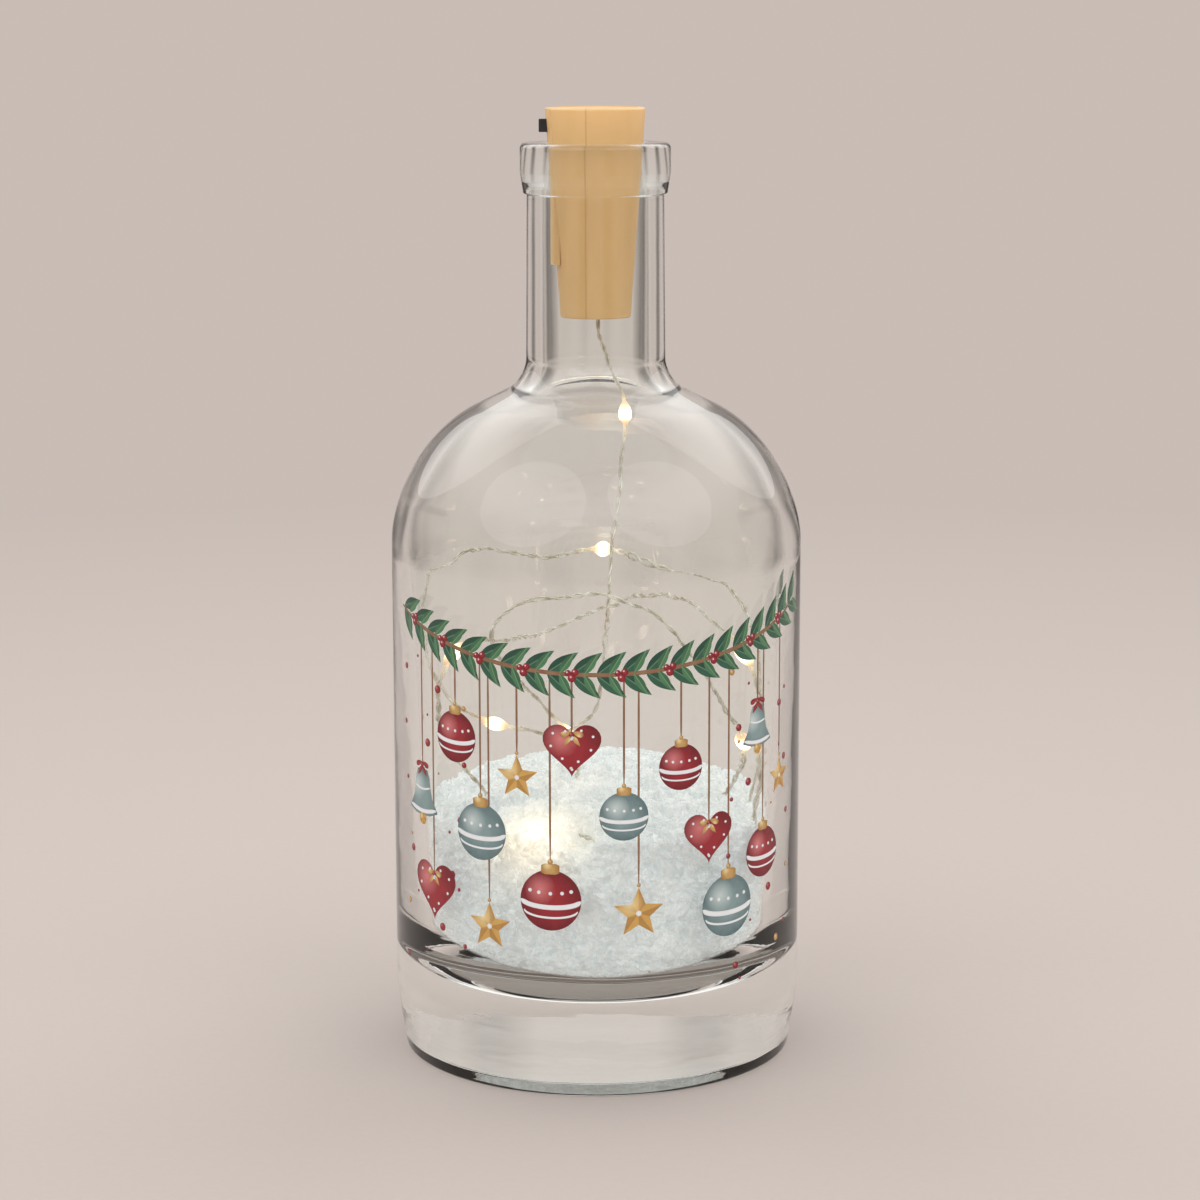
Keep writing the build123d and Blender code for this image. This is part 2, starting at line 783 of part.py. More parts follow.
def placed(draw, shares):
    """One drawing with the arc, height and size of each of its places."""
    places = []
    for arc_share, height_share, size_share in shares:
        height = print_low + height_share * (garland_height - print_low)
        places.append((draw, arc_share * garland_half, height, size_share * ornament_r))
    return places


def block(shapes):
    """Blocks through the glass front for a list of placed drawings."""
    with BuildPart() as blocks:
        for draw, arc, height, size in shapes:
            with BuildSketch(on_glass(arc, height)):
                draw(size)
            extrude(amount=ink_reach, both=True)
    return blocks.part


def ink(blocks, taken, name):
    """Cut blocks down to the ink's thickness, clear of the blocks already taken, and keep them."""
    with BuildPart() as layer:
        add(blocks)
        for other in taken:
            add(other, mode=Mode.SUBTRACT)
        add(ink_skin.part, mode=Mode.INTERSECT)
    keep(layer, name)


with BuildPart() as ink_skin:
    with BuildSketch(Plane.XY.offset(heel_height)):
        Circle(body_r + ink_thickness)
        Circle(body_r, mode=Mode.SUBTRACT)
    extrude(amount=shoulder_height - heel_height)

stem_length = 2 * garland_half / leaf_pairs * (1 + stem_overlap_share)
with BuildPart() as garland:
    for pair in range(leaf_pairs):
        arc = garland_half * (2 * pair / (leaf_pairs - 1) - 1)
        rise = degrees(2 * garland_sag * arc / garland_half**2)
        with BuildSketch(on_glass(arc, garland_line(arc), rise)):
            Rectangle(stem_length, stem_width)
        extrude(amount=ink_reach, both=True)
        for side in (-1, 1):
            with BuildSketch(on_glass(arc, garland_line(arc), rise + side * leaf_turn)):
                with BuildLine():
                    ThreePointArc((0, 0), (leaf_long / 2, leaf_broad / 2), (leaf_long, 0))
                    ThreePointArc((leaf_long, 0), (leaf_long / 2, -leaf_broad / 2), (0, 0))
                make_face()
            extrude(amount=ink_reach, both=True)

red_shapes = placed(bauble, red_bauble_shares) + placed(heart, red_heart_shares)
grey_shapes = placed(bauble, grey_bauble_shares) + placed(bell, grey_bell_shares)
gold_shapes = placed(star, gold_star_shares)
red_blocks, grey_blocks, gold_blocks = block(red_shapes), block(grey_shapes), block(gold_shapes)

with BuildPart() as threads:
    for _, arc, height, _ in red_shapes + grey_shapes + gold_shapes:
        with BuildSketch(on_glass(arc, height)):
            Rectangle(thread_width, garland_line(arc) - height, align=(Align.CENTER, Align.MIN))
        extrude(amount=ink_reach, both=True)

with BuildPart() as dots:
    for number in range(dot_count):
        side = 1 if number % 2 else -1
        swing = radians(dot_turn * number)
        arc = side * garland_half * (1 - dot_band_share * (1 + sin(swing)) / 2)
        height = print_low + (garland_height - print_low) * number / dot_count
        with BuildSketch(on_glass(arc, height)):
            Circle(dot_r * (1 + dot_swell_share * cos(swing)))
        extrude(amount=ink_reach, both=True)

ink(garland.part, [], "print_garland")
ink(red_blocks, [garland.part], "print_red")
ink(grey_blocks, [garland.part], "print_grey")
ink(gold_blocks, [garland.part], "print_gold")
ink(threads.part, [garland.part, red_blocks, grey_blocks, gold_blocks], "print_threads")
ink(dots.part, [garland.part, red_blocks, grey_blocks, gold_blocks, threads.part], "print_dots")
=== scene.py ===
"""The looks of a bottle lamp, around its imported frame: glass bottle, white crystals, cork stopper and string.

Metres, +Z up, in the frame's own place. The print faces -Y and the switch faces -X.
"""

import json
from math import cos, hypot, pi, radians, sin, sqrt, tan
from random import Random

import bmesh
import bpy
import numpy as np
from mathutils import Matrix, Vector, noise

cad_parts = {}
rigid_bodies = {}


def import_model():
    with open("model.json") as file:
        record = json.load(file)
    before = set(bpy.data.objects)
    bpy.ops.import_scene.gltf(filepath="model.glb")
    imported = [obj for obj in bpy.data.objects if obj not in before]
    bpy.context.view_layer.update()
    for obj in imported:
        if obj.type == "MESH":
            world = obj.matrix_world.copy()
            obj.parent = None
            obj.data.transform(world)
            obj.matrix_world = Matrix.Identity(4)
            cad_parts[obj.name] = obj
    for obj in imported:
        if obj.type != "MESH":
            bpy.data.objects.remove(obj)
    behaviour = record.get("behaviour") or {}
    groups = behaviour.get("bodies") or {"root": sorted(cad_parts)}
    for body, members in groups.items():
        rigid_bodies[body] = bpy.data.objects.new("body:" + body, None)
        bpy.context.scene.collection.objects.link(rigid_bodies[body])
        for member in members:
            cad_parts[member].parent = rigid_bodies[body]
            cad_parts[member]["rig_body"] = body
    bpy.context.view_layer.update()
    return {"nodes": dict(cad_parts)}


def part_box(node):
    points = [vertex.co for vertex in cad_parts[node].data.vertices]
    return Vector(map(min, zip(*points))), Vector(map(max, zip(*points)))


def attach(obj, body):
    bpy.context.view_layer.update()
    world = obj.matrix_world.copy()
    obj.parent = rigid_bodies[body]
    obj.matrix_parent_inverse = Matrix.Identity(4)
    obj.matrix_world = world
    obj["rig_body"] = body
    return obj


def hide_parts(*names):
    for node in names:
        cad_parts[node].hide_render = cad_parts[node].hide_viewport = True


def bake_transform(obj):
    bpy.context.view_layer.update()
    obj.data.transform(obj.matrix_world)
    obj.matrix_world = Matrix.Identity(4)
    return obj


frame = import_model()

# Camera. A long lens three quarters of a metre from the bottle, looking ten degrees down on it, as in the
# photograph. The bottle's axis lies a little left of the frame's middle.
mm = 0.001
frame_px = 1200
focal_px = 3279.5
axis_px = 595
sensor_width = 36
camera_place = (0, -713.3 * mm, 229.1 * mm)
camera_tilt = radians(90 - 10.24)
camera_roll = radians(0.13)

bpy.ops.object.camera_add(location=camera_place, rotation=(camera_tilt, camera_roll, 0))
camera = bpy.context.object
camera.data.sensor_width = sensor_width
camera.data.lens = focal_px * sensor_width / frame_px
camera.data.shift_x = (frame_px / 2 - axis_px) / frame_px
camera.data.clip_start = 0.01
bpy.context.scene.camera = camera

# String of lamps. Two lacquered wires, silver in colour, twisted together by machine. It leaves the stopper's
# foot, hangs to the second lamp, goes round in loose loops and ends in the crystals. Each route after the first
# starts with the run that a lamp is moulded on. Routes are in tenths of a millimetre.
lead_route = [
    (5, 0, 1631), (5, 0, 1596), (16, -6, 1554), (42, -18, 1498), (62, -28, 1438), (64, -32, 1372),
    (56, -38, 1285), (42, -52, 1195), (28, -78, 1105), (32, -98, 1010), (18, -114, 924), (16, -128, 850),
    (4, -148, 790), (-32, -168, 748), (-84, -182, 732), (-134, -182, 742), (-184, -174, 752),
]
string_routes = [
    [(-184, -174, 752), (-246, -164, 764), (-314, -132, 798), (-366, -76, 874), (-396, 10, 970),
     (-384, 104, 1040), (-344, 186, 1088), (-278, 260, 1094), (-194, 308, 1082), (-102, 330, 1068)],
    [(-24, 334, 1082), (48, 332, 1082), (124, 320, 1066), (214, 290, 1042), (286, 242, 1010),
     (334, 174, 964), (362, 100, 896), (374, 36, 816)],
    [(372, -2, 742), (362, -30, 668), (346, -44, 584), (324, -60, 504), (309, -92, 444), (301, -148, 418),
     (305, -196, 458), (316, -206, 536), (330, -192, 624), (336, -188, 714), (342, -180, 804)],
    [(326, -190, 886), (288, -196, 948), (250, -170, 990), (198, -106, 1016), (136, -8, 1012),
     (80, 92, 978), (16, 162, 938), (-56, 182, 912), (-124, 142, 892), (-176, 58, 894), (-222, -44, 916),
     (-254, -130, 936)],
    [(-284, -182, 940), (-314, -208, 902), (-326, -212, 830), (-320, -194, 740), (-286, -152, 656),
     (-234, -122, 584), (-186, -146, 526), (-172, -210, 498), (-182, -272, 520)],
    [(-152, -306, 552), (-94, -314, 558), (-30, -304, 546), (46, -264, 516), (104, -186, 480),
     (126, -84, 448), (102, 18, 426), (38, 86, 422), (-42, 94, 442), (-86, 46, 488), (-76, -16, 548),
     (-40, -68, 606), (-34, -106, 658)],
    [(-46, -124, 702), (-82, -136, 752), (-128, -160, 810), (-178, -194, 870), (-212, -208, 920),
     (-222, -204, 970), (-196, -180, 1008), (-142, -156, 1028), (-70, -152, 1038), (8, -170, 1042),
     (74, -198, 1030), (132, -224, 1002), (182, -250, 956), (226, -270, 888), (260, -270, 820)],
    [(290, -246, 764), (310, -202, 706), (296, -124, 614), (268, -24, 528), (244, 88, 460),
     (196, 184, 414), (120, 246, 386)],
    [(40, 276, 374), (-32, 282, 370)],
]
tenths_per_metre = 10000
lead_lamp_run = 4
strand_radius = 0.24 * mm
strand_offset = 0.23 * mm
strand_opening = 0.36 * mm
strand_pitch = 7 * mm
pitch_change = 1.2
strand_step = 0.45 * mm
kink_size = 0.75 * mm
kink_length = 6.5 * mm
kink_seed = 7
kink_ease = 0.1


class Paint:
    """A socket in a material's node tree. Python's arithmetic on it adds Math nodes."""

    def __init__(self, tree, socket=None):
        self.tree, self.socket = tree, socket

    def node(self, kind, settings=None, inputs=None, output=0):
        """Any node, by its type: its settings are set first, then its inputs get values or links."""
        made = self.tree.nodes.new("ShaderNode" + kind)
        for key, value in (settings or {}).items():
            if key == "stops":
                ramp = made.color_ramp
                for place, colour in value[1:-1]:
                    ramp.elements.new(place).color = colour
                ends = ramp.elements[0], ramp.elements[-1]
                for end, (place, colour) in zip(ends, (value[0], value[-1])):
                    end.position, end.color = place, colour
            else:
                setattr(made, key, value)
        for key, value in (inputs or {}).items():
            if isinstance(value, Paint):
                self.tree.links.new(value.socket, made.inputs[key])
            else:
                made.inputs[key].default_value = value
        return Paint(self.tree, made.outputs[output] if made.outputs else None)

    def maths(self, operation, *values, clamp=False):
        """A Math node on this socket and up to two more values."""
        inputs = dict(enumerate((self, *values)))
        return self.node("Math", {"operation": operation, "use_clamp": clamp}, inputs)

    def held(self):
        """The same value, kept between 0 and 1."""
        return self.maths("MULTIPLY", 1, clamp=True)

    def __add__(self, other):
        return self.maths("ADD", other)

    __radd__ = __add__

    def __sub__(self, other):
        return self.maths("SUBTRACT", other)

    def __rsub__(self, other):
        return self.node("Math", {"operation": "SUBTRACT"}, {0: other, 1: self})

    def __mul__(self, other):
        return self.maths("MULTIPLY", other)

    __rmul__ = __mul__

    def __pow__(self, other):
        return self.maths("POWER", other)


def shade(name, recipe):
    """A material. Its recipe gets the place on the object, in metres, and returns the finished shader."""
    made = bpy.data.materials.new(name)
    made.use_nodes = True
    made.node_tree.nodes.clear()
    place = Paint(made.node_tree).node("TexCoord", output="Object")
    place.node("OutputMaterial", inputs={"Surface": recipe(place)})
    return made


def mottle(place, size, detail=2, rough=0.5):
    """Soft noise whose blots are about that size, from 0 to 1."""
    return place.node("TexNoise", inputs={"Vector": place, "Scale": 1 / size, "Detail": detail,
                                          "Roughness": rough})


def blend_colours(share, first, second):
    """The first colour where the share is 0 and the second where it is 1."""
    return share.node("Mix", {"data_type": "RGBA"}, {"Factor": share, "A": first, "B": second}, output=2)


def bumps(height, depth):
    """A normal bent by a height field, as deep as given in metres."""
    return height.node("Bump", inputs={"Height": height, "Distance": depth, "Strength": 1})


def alone():
    """Leave edit mode, if in it, and deselect every object."""
    if bpy.context.object and bpy.context.object.mode != "OBJECT":
        bpy.ops.object.mode_set(mode="OBJECT")
    bpy.ops.object.select_all(action="DESELECT")


def linked(name, data):
    """A new object for a mesh or curve, linked to the scene."""
    made = bpy.data.objects.new(name, data)
    bpy.context.scene.collection.objects.link(made)
    return made


def joined(name, objects):
    """Several mesh objects joined into one, under a new name."""
    alone()
    for piece in objects:
        piece.select_set(True)
    bpy.context.view_layer.objects.active = objects[0]
    bpy.ops.object.join()
    objects[0].name = name
    return objects[0]


def route_line(points):
    """Close points along the smooth curve that has the route's points as its control points."""
    curve = bpy.data.curves.new("route", "CURVE")
    curve.dimensions = "3D"
    curve.resolution_u = 30
    spline = curve.splines.new("NURBS")
    spline.points.add(len(points) - 1)
    for control, point in zip(spline.points, points):
        control.co = (*point, 1)
    spline.order_u = 3
    spline.use_endpoint_u = True
    route = linked("route", curve)
    line = bpy.data.meshes.new_from_object(route)
    places = [vertex.co.copy() for vertex in line.vertices]
    bpy.data.objects.remove(route)
    return places


def evenly(places, step):
    """The same line with its points a steady step apart."""
    marks = [0]
    for before, after in zip(places, places[1:]):
        marks.append(marks[-1] + (after - before).length)
    wanted = np.linspace(0, marks[-1], round(marks[-1] / step) + 1)
    columns = [np.interp(wanted, marks, [place[axis] for place in places]) for axis in range(3)]
    return [Vector(point) for point in zip(*columns)]


def kinked(places):
    """The line with the small kinks of wire that came off a spool. Its ends stay in place."""
    out = []
    for index, place in enumerate(places):
        ease = min(1, kink_ease * min(index, len(places) - 1 - index))
        out.append(place + ease * kink_size * noise.noise_vector(place / kink_length))
    return out


def tube(name, places, radius, sides=3):
    """A round thread of that radius along close points, as a mesh with closed ends."""
    curve = bpy.data.curves.new(name, "CURVE")
    curve.dimensions = "3D"
    curve.bevel_depth = radius
    curve.bevel_resolution = sides
    curve.use_fill_caps = True
    spline = curve.splines.new("POLY")
    spline.points.add(len(places) - 1)
    for control, place in zip(spline.points, places):
        control.co = (*place, 1)
    drawn = linked(name, curve)
    made = linked(name, bpy.data.meshes.new_from_object(drawn))
    bpy.data.objects.remove(drawn)
    return made


def twisted_pair(name, places):
    """Two strands wound round a line. They open a little where the twist is slack."""
    strands = [[], []]
    across = Vector((0, 1, 0))
    turn = 0
    for index, place in enumerate(places):
        along = (places[min(index + 1, len(places) - 1)] - places[max(index - 1, 0)]).normalized()
        across = (across - across.dot(along) * along).normalized()
        turn += 2 * pi * strand_step / strand_pitch * (1 + pitch_change * noise.noise(place / strand_pitch))
        slack = max(0, noise.noise(place / kink_length)) * strand_opening
        reach = (strand_offset + slack) * (cos(turn) * across + sin(turn) * along.cross(across))
        strands[0].append(place + reach)
        strands[1].append(place - reach)
    pair = [tube(name, strand, strand_radius, sides=1) for strand in strands]
    made = joined(name, pair)
    for face in made.data.polygons:
        face.use_smooth = True
    return made


lead_points, *string_stretches = [[tuple(part / tenths_per_metre for part in point) for point in route]
                                  for route in (lead_route, *string_routes)]
string_points = [point for stretch in string_stretches for point in stretch]
noise.seed_set(kink_seed)
lead_line = kinked(evenly(route_line(lead_points), strand_step))
loops_line = kinked(evenly(route_line(string_points), strand_step))
lead_pair = twisted_pair("lead_pair", lead_line)
loops_pair = twisted_pair("loops_pair", loops_line)

lamp_runs = [(lead_points[lead_lamp_run], lead_points[lead_lamp_run + 1])]
lamp_runs += [(stretch[0], stretch[1]) for stretch in string_stretches]
lamp_centres = [(Vector(start) + Vector(end)) / 2 for start, end in lamp_runs]


def lamp_glow(place, reach):
    """How strongly the lamps light a place: 1 at a lamp's middle, fading to 0 at the reach."""
    total = 0
    for centre in lamp_centres:
        far = place.node("VectorMath", {"operation": "DISTANCE"}, {0: place, 1: centre}, output=1)
        total = (1 - far * (1 / reach)).maths("MAXIMUM", 0) ** 3 + total
    return total


def silver_wire(place):
    """Lacquered silver wire, with painted highlights and shade in random streaks, and a painted warm glow near
    the lamps.
    """
    # painted highlights and shade: random streaks from dark brown to near white, glossier where pale
    streaks = (mottle(place, 2.2 * mm) * 2.6 - 0.8).held()
    # painted lamp light: a warm emission on the wire near each lamp
    warm = lamp_glow(place, 9 * mm)
    painted_glow = blend_colours(warm.maths("MINIMUM", 1), (0, 0, 0, 1), (1, 0.72, 0.36, 1))
    colour = blend_colours(streaks, (0.56, 0.48, 0.34, 1), (1, 0.99, 0.92, 1))
    return place.node("BsdfPrincipled", inputs={
        "Base Color": colour, "Metallic": 0.4, "Roughness": 0.35 - streaks * 0.15,
        "Emission Color": painted_glow, "Emission Strength": 1.6,
    })


wire_finish = shade("silver_wire", silver_wire)
for pair in (lead_pair, loops_pair):
    pair.data.materials.clear()
    pair.data.materials.append(wire_finish)
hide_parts("lead_wire")
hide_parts("light_string")
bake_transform(lead_pair)
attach(loops_pair, "root")

# Lamps. Each is a drop of clear resin cast round a small warm white chip on the string, with a short neck of
# resin at both ends where it drew out along the wires. All ten are lit.
drop_width = 2.9 * mm
drop_length = 6 * mm
chip_size = (1.6 * mm, 0.8 * mm, 0.5 * mm)
neck_pull = 1.9
neck_thin = 0.32
chip_edge = 0.08 * mm
resin_glow_reach = 3.6 * mm
chip_glow_reach = 2.4 * mm


def lit_resin(place):
    """Resin full of light: white at the chip, amber at its skin."""
    light = lamp_glow(place, resin_glow_reach)
    stops = [(0, (0.08, 0.035, 0.01, 1)), (0.04, (0.3, 0.13, 0.045, 1)), (0.11, (0.8, 0.46, 0.2, 1)),
             (0.2, (1, 0.9, 0.7, 1))]
    colour = light.node("ValToRGB", {"stops": stops}, {"Fac": light})
    return place.node("BsdfPrincipled", inputs={
        "Base Color": (0.95, 0.86, 0.7, 1), "Roughness": 0.12, "Emission Color": colour,
        "Emission Strength": 2.6,
    })


def lit_chip(place):
    """The chip's phosphor, with its edge a little darker than its middle."""
    light = lamp_glow(place, chip_glow_reach)
    colour = blend_colours(light, (1, 0.75, 0.42, 1), (1, 0.97, 0.88, 1))
    return place.node("BsdfPrincipled", inputs={
        "Base Color": (0.95, 0.85, 0.4, 1), "Roughness": 0.4, "Emission Color": colour,
        "Emission Strength": 8,
    })


resin_finish = shade("lit_resin", lit_resin)
chip_finish = shade("lit_chip", lit_chip)
for number, (start, end) in enumerate(lamp_runs, 1):
    along = (Vector(end) - Vector(start)).normalized()
    turn = Vector((0, 0, 1)).rotation_difference(along).to_matrix().to_4x4()
    place = Matrix.Translation(lamp_centres[number - 1]) @ turn

    alone()
    bpy.ops.mesh.primitive_uv_sphere_add(segments=24, ring_count=16, radius=drop_width / 2)
    drop = bpy.context.object
    drop.name = f"resin_drop_{number:02d}"
    for vertex in drop.data.vertices:
        share = vertex.co.z / (drop_width / 2)
        thin = 1 - neck_thin * abs(share) ** neck_pull
        vertex.co = Vector((vertex.co.x * thin, vertex.co.y * thin, share * drop_length / 2))
    bpy.ops.object.shade_smooth()
    drop.data.transform(place)

    alone()
    bpy.ops.mesh.primitive_cube_add(size=1, scale=chip_size)
    chip = bpy.context.object
    chip.name = f"lit_chip_{number:02d}"
    bpy.ops.object.transform_apply()
    bpy.ops.object.mode_set(mode="EDIT")
    bpy.ops.mesh.bevel(offset=chip_edge, segments=2)
    alone()
    chip.data.transform(place @ Matrix.Rotation(radians(90), 4, "Y"))

    for piece, finish, node in ((drop, resin_finish, "led_drop"), (chip, chip_finish, "led_chip")):
        piece.data.materials.append(finish)
        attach(piece, "stopper" if number == 1 else "root")
        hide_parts(f"{node}_{number:02d}")

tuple(lead_points[0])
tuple(string_points[0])

# Bottle. Clear pressed glass in one piece: a foot ring and a thick base, a tall round shoulder, a neck and a
# stepped lip. The mould gives the outside; the inside was blown, so the cavity's wall is a little uneven.
bottle_spin = 240
bottle_corners = [
    (0, 2.4, 0), (36.7, 2.4, 1), (38.5, 0, 0.6), (42.9, 0, 1.4), (45, 13, 80), (45, 134.3, 33),
    (15.25, 149.2, 8), (14.9, 189.6, 0.3), (15.65, 189.6, 0.35), (16.35, 194.1, 3), (16.35, 200.5, 1.2),
    (10.37, 200.5, 0.5), (10.37, 199.5, 2), (11.4, 191.5, 6), (11.4, 147.4, 9), (42.5, 131.85, 34),
    (36.9, 17.2, 16), (0, 17.2, 0),
]
chill_top = 15 * mm
chill_fade = 6 * mm
corner_steps = {80: 12, 33: 48, 34: 48, 16: 24, 9: 20, 8: 20}
blown_heights = (17.8 * mm, 131 * mm)
blown_reaches = (17 * mm, 43 * mm)
blown_eases = (4 * mm, 10 * mm)
blown_size = 13 * mm
blown_depth = 0.22 * mm


def picked(piece, test):
    """In edit mode, select the vertices that pass the test and nothing else."""
    bpy.ops.mesh.select_mode(type="VERT")
    bpy.ops.mesh.select_all(action="DESELECT")
    shape = bmesh.from_edit_mesh(piece.data)
    for vertex in shape.verts:
        vertex.select_set(test(vertex))
    shape.select_flush(True)
    bmesh.update_edit_mesh(piece.data)


def turned(name, corners, spin_steps, few=6, many={}):
    """A piece spun from its half outline, whose corners are radius, height and rounding in millimetres."""
    alone()
    bpy.ops.mesh.primitive_plane_add(size=mm)
    piece = bpy.context.object
    piece.name = name
    bpy.ops.object.mode_set(mode="EDIT")
    bpy.ops.mesh.merge(type="CENTER")
    spots = [Vector((radius, 0, height)) * mm for radius, height, _ in corners]
    bpy.ops.transform.translate(value=spots[0])
    for before, after in zip(spots, spots[1:]):
        bpy.ops.mesh.extrude_region_move(TRANSFORM_OT_translate={"value": after - before})
    for index, (_, _, rounding) in enumerate(corners):
        if rounding:
            before, spot, after = spots[index - 1:index + 2]
            bend = (spot - before).angle(after - spot)
            picked(piece, lambda vertex: (vertex.co - spot).length < 0.001 * mm)
            bpy.ops.mesh.bevel(offset=rounding * mm * tan(bend / 2), segments=many.get(rounding, few),
                               affect="VERTICES", profile=0.5)
    bpy.ops.mesh.select_all(action="SELECT")
    bpy.ops.mesh.spin(steps=spin_steps, angle=2 * pi, center=(0, 0, 0), axis=(0, 0, 1))
    bpy.ops.mesh.select_all(action="SELECT")
    bpy.ops.mesh.remove_doubles(threshold=0.002 * mm)
    bpy.ops.mesh.normals_make_consistent(inside=False)
    alone()
    piece.select_set(True)
    bpy.ops.object.shade_smooth_by_angle(angle=radians(38))
    return piece


def part_of(vector, axis):
    """One axis of a vector socket."""
    split = vector.node("SeparateXYZ", inputs={"Vector": vector})
    return Paint(vector.tree, split.socket.node.outputs[axis])


def clear_glass(place):
    """Clear glass with the faint cast of a thick base. Shadows and lamp light pass through it."""
    ripple = mottle(place, 9 * mm, detail=1)
    height = part_of(place, "Z")
    flat_place = place.node("VectorMath", {"operation": "MULTIPLY"}, {0: place, 1: (1, 1, 5)})
    chill = mottle(flat_place, 22 * mm, detail=2)
    low = (1 - (height - chill_top) * (1 / chill_fade)).held()
    glass = place.node("BsdfPrincipled", inputs={
        "Base Color": (0.978, 0.992, 0.974, 1), "Transmission Weight": 1, "IOR": 1.5,
        "Roughness": 0, "Normal": bumps(ripple + chill * low * 5, 0.03 * mm),
    })
    open_glass = place.node("BsdfTransparent", inputs={"Color": (0.94, 0.96, 0.955, 1)})
    shadow = place.node("LightPath", output=1)
    return place.node("MixShader", inputs={0: shadow, 1: glass, 2: open_glass})


bottle = turned("glass_bottle", bottle_corners, bottle_spin, many=corner_steps)
for vertex in bottle.data.vertices:
    reach = hypot(vertex.co.x, vertex.co.y)
    low, high = vertex.co.z - blown_heights[0], blown_heights[1] - vertex.co.z
    if blown_reaches[0] < reach < blown_reaches[1] and low > 0 and high >= 0:
        ease = min(1, low / blown_eases[0], high / blown_eases[1])
        push = ease * blown_depth * noise.noise(vertex.co / blown_size)
        vertex.co += push * Vector((vertex.co.x, vertex.co.y, 0)) / reach
bottle.data.materials.append(shade("clear_glass", clear_glass))
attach(bottle, "root")
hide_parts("bottle")

# Filling. Coarse white crystals, poured in through the neck and heaped a little in the middle. Chips of a few
# millimetres lie over larger lumps round a buried lamp. A painted glow, faint all over and warm near the lamps,
# stands for the light that reaches them from inside.
grain_kinds = 10
grain_count = 9400
grain_sizes = (0.9 * mm, 2.3 * mm)
grain_sink = 0.1
grain_bed = 0.9 * mm
wall_pull = 2.2 * mm
chip_length = 2.6 * mm
cavity_low = 17.2 * mm
cavity_foot = 36.9 * mm
cavity_slope = (42.5 - 36.9) / (131.55 - 17.2)
cavity_round = 16 * mm
grain_gap = 0.3 * mm
heap_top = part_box("crystal_fill")[1][2]
heap_edge_drop = 8.5 * mm
heap_edge_reach = 38.2 * mm
heap_rough = 0.7 * mm


def cavity_reach(height):
    """The cavity's radius at a height, with its round corner at the bottom."""
    short = cavity_round - min(max(height - cavity_low, 0), cavity_round)
    wall = cavity_foot + cavity_slope * (height - cavity_low)
    return wall - cavity_round + sqrt(cavity_round ** 2 - short ** 2)


def crystal_white(place):
    """Half clear white mineral in uneven chips, each brighter or dimmer, with a painted glow: faint all over
    and warm near the lamps.
    """
    cloud = mottle(place, 1.8 * mm, detail=3)
    wander = place.node("TexNoise", inputs={"Vector": place, "Scale": 1 / chip_length, "Detail": 2}, output=1)
    reach = [0.9 * chip_length] * 3
    bent = place.node("VectorMath", {"operation": "MULTIPLY_ADD"}, {0: wander, 1: reach, 2: place})
    chip = bent.node("TexVoronoi", inputs={"Vector": bent, "Scale": 1 / chip_length}, output=1)
    chip_light = part_of(chip, "X")
    splinter = bent.node("TexVoronoi", inputs={"Vector": bent, "Scale": 2.7 / chip_length}, output=1)
    splinter_light = part_of(splinter, "X")
    share = (cloud * 0.5 + chip_light * 0.5 + splinter_light * 0.5 - 0.25).held()
    colour = blend_colours(share, (0.64, 0.68, 0.69, 1), (0.92, 0.94, 0.94, 1))
    # painted light: a faint emission all over the crystals that turns warm near the lamps
    near = lamp_glow(place, 21 * mm).maths("MINIMUM", 1)
    painted_glow = blend_colours(near, (0.2, 0.205, 0.205, 1), (1, 0.78, 0.5, 1))
    return place.node("BsdfPrincipled", inputs={
        "Base Color": colour, "Roughness": cloud * 0.3 + 0.1, "Subsurface Weight": 0.35,
        "Subsurface Radius": (1.6, 1.7, 1.8), "Subsurface Scale": 1 * mm,
        "Emission Color": painted_glow, "Emission Strength": 0.8,
        "Normal": bumps(cloud * 0.3 + splinter_light * 0.5, 0.3 * mm),
    })


pick_random = Random(7)
grain_shapes = []
for kind in range(grain_kinds):
    alone()
    bpy.ops.mesh.primitive_ico_sphere_add(subdivisions=1, radius=1)
    grain = bpy.context.object
    stretch = [pick_random.uniform(0.5, 0.9), pick_random.uniform(0.5, 0.9), pick_random.uniform(0.9, 1.5)]
    for vertex in grain.data.vertices:
        vertex.co *= pick_random.uniform(0.72, 1.14)
        vertex.co = Vector([part * scale for part, scale in zip(vertex.co, stretch)])
    grain_shapes.append((np.array([vertex.co for vertex in grain.data.vertices]),
                         np.array([face.vertices for face in grain.data.polygons])))
    bpy.data.objects.remove(grain)

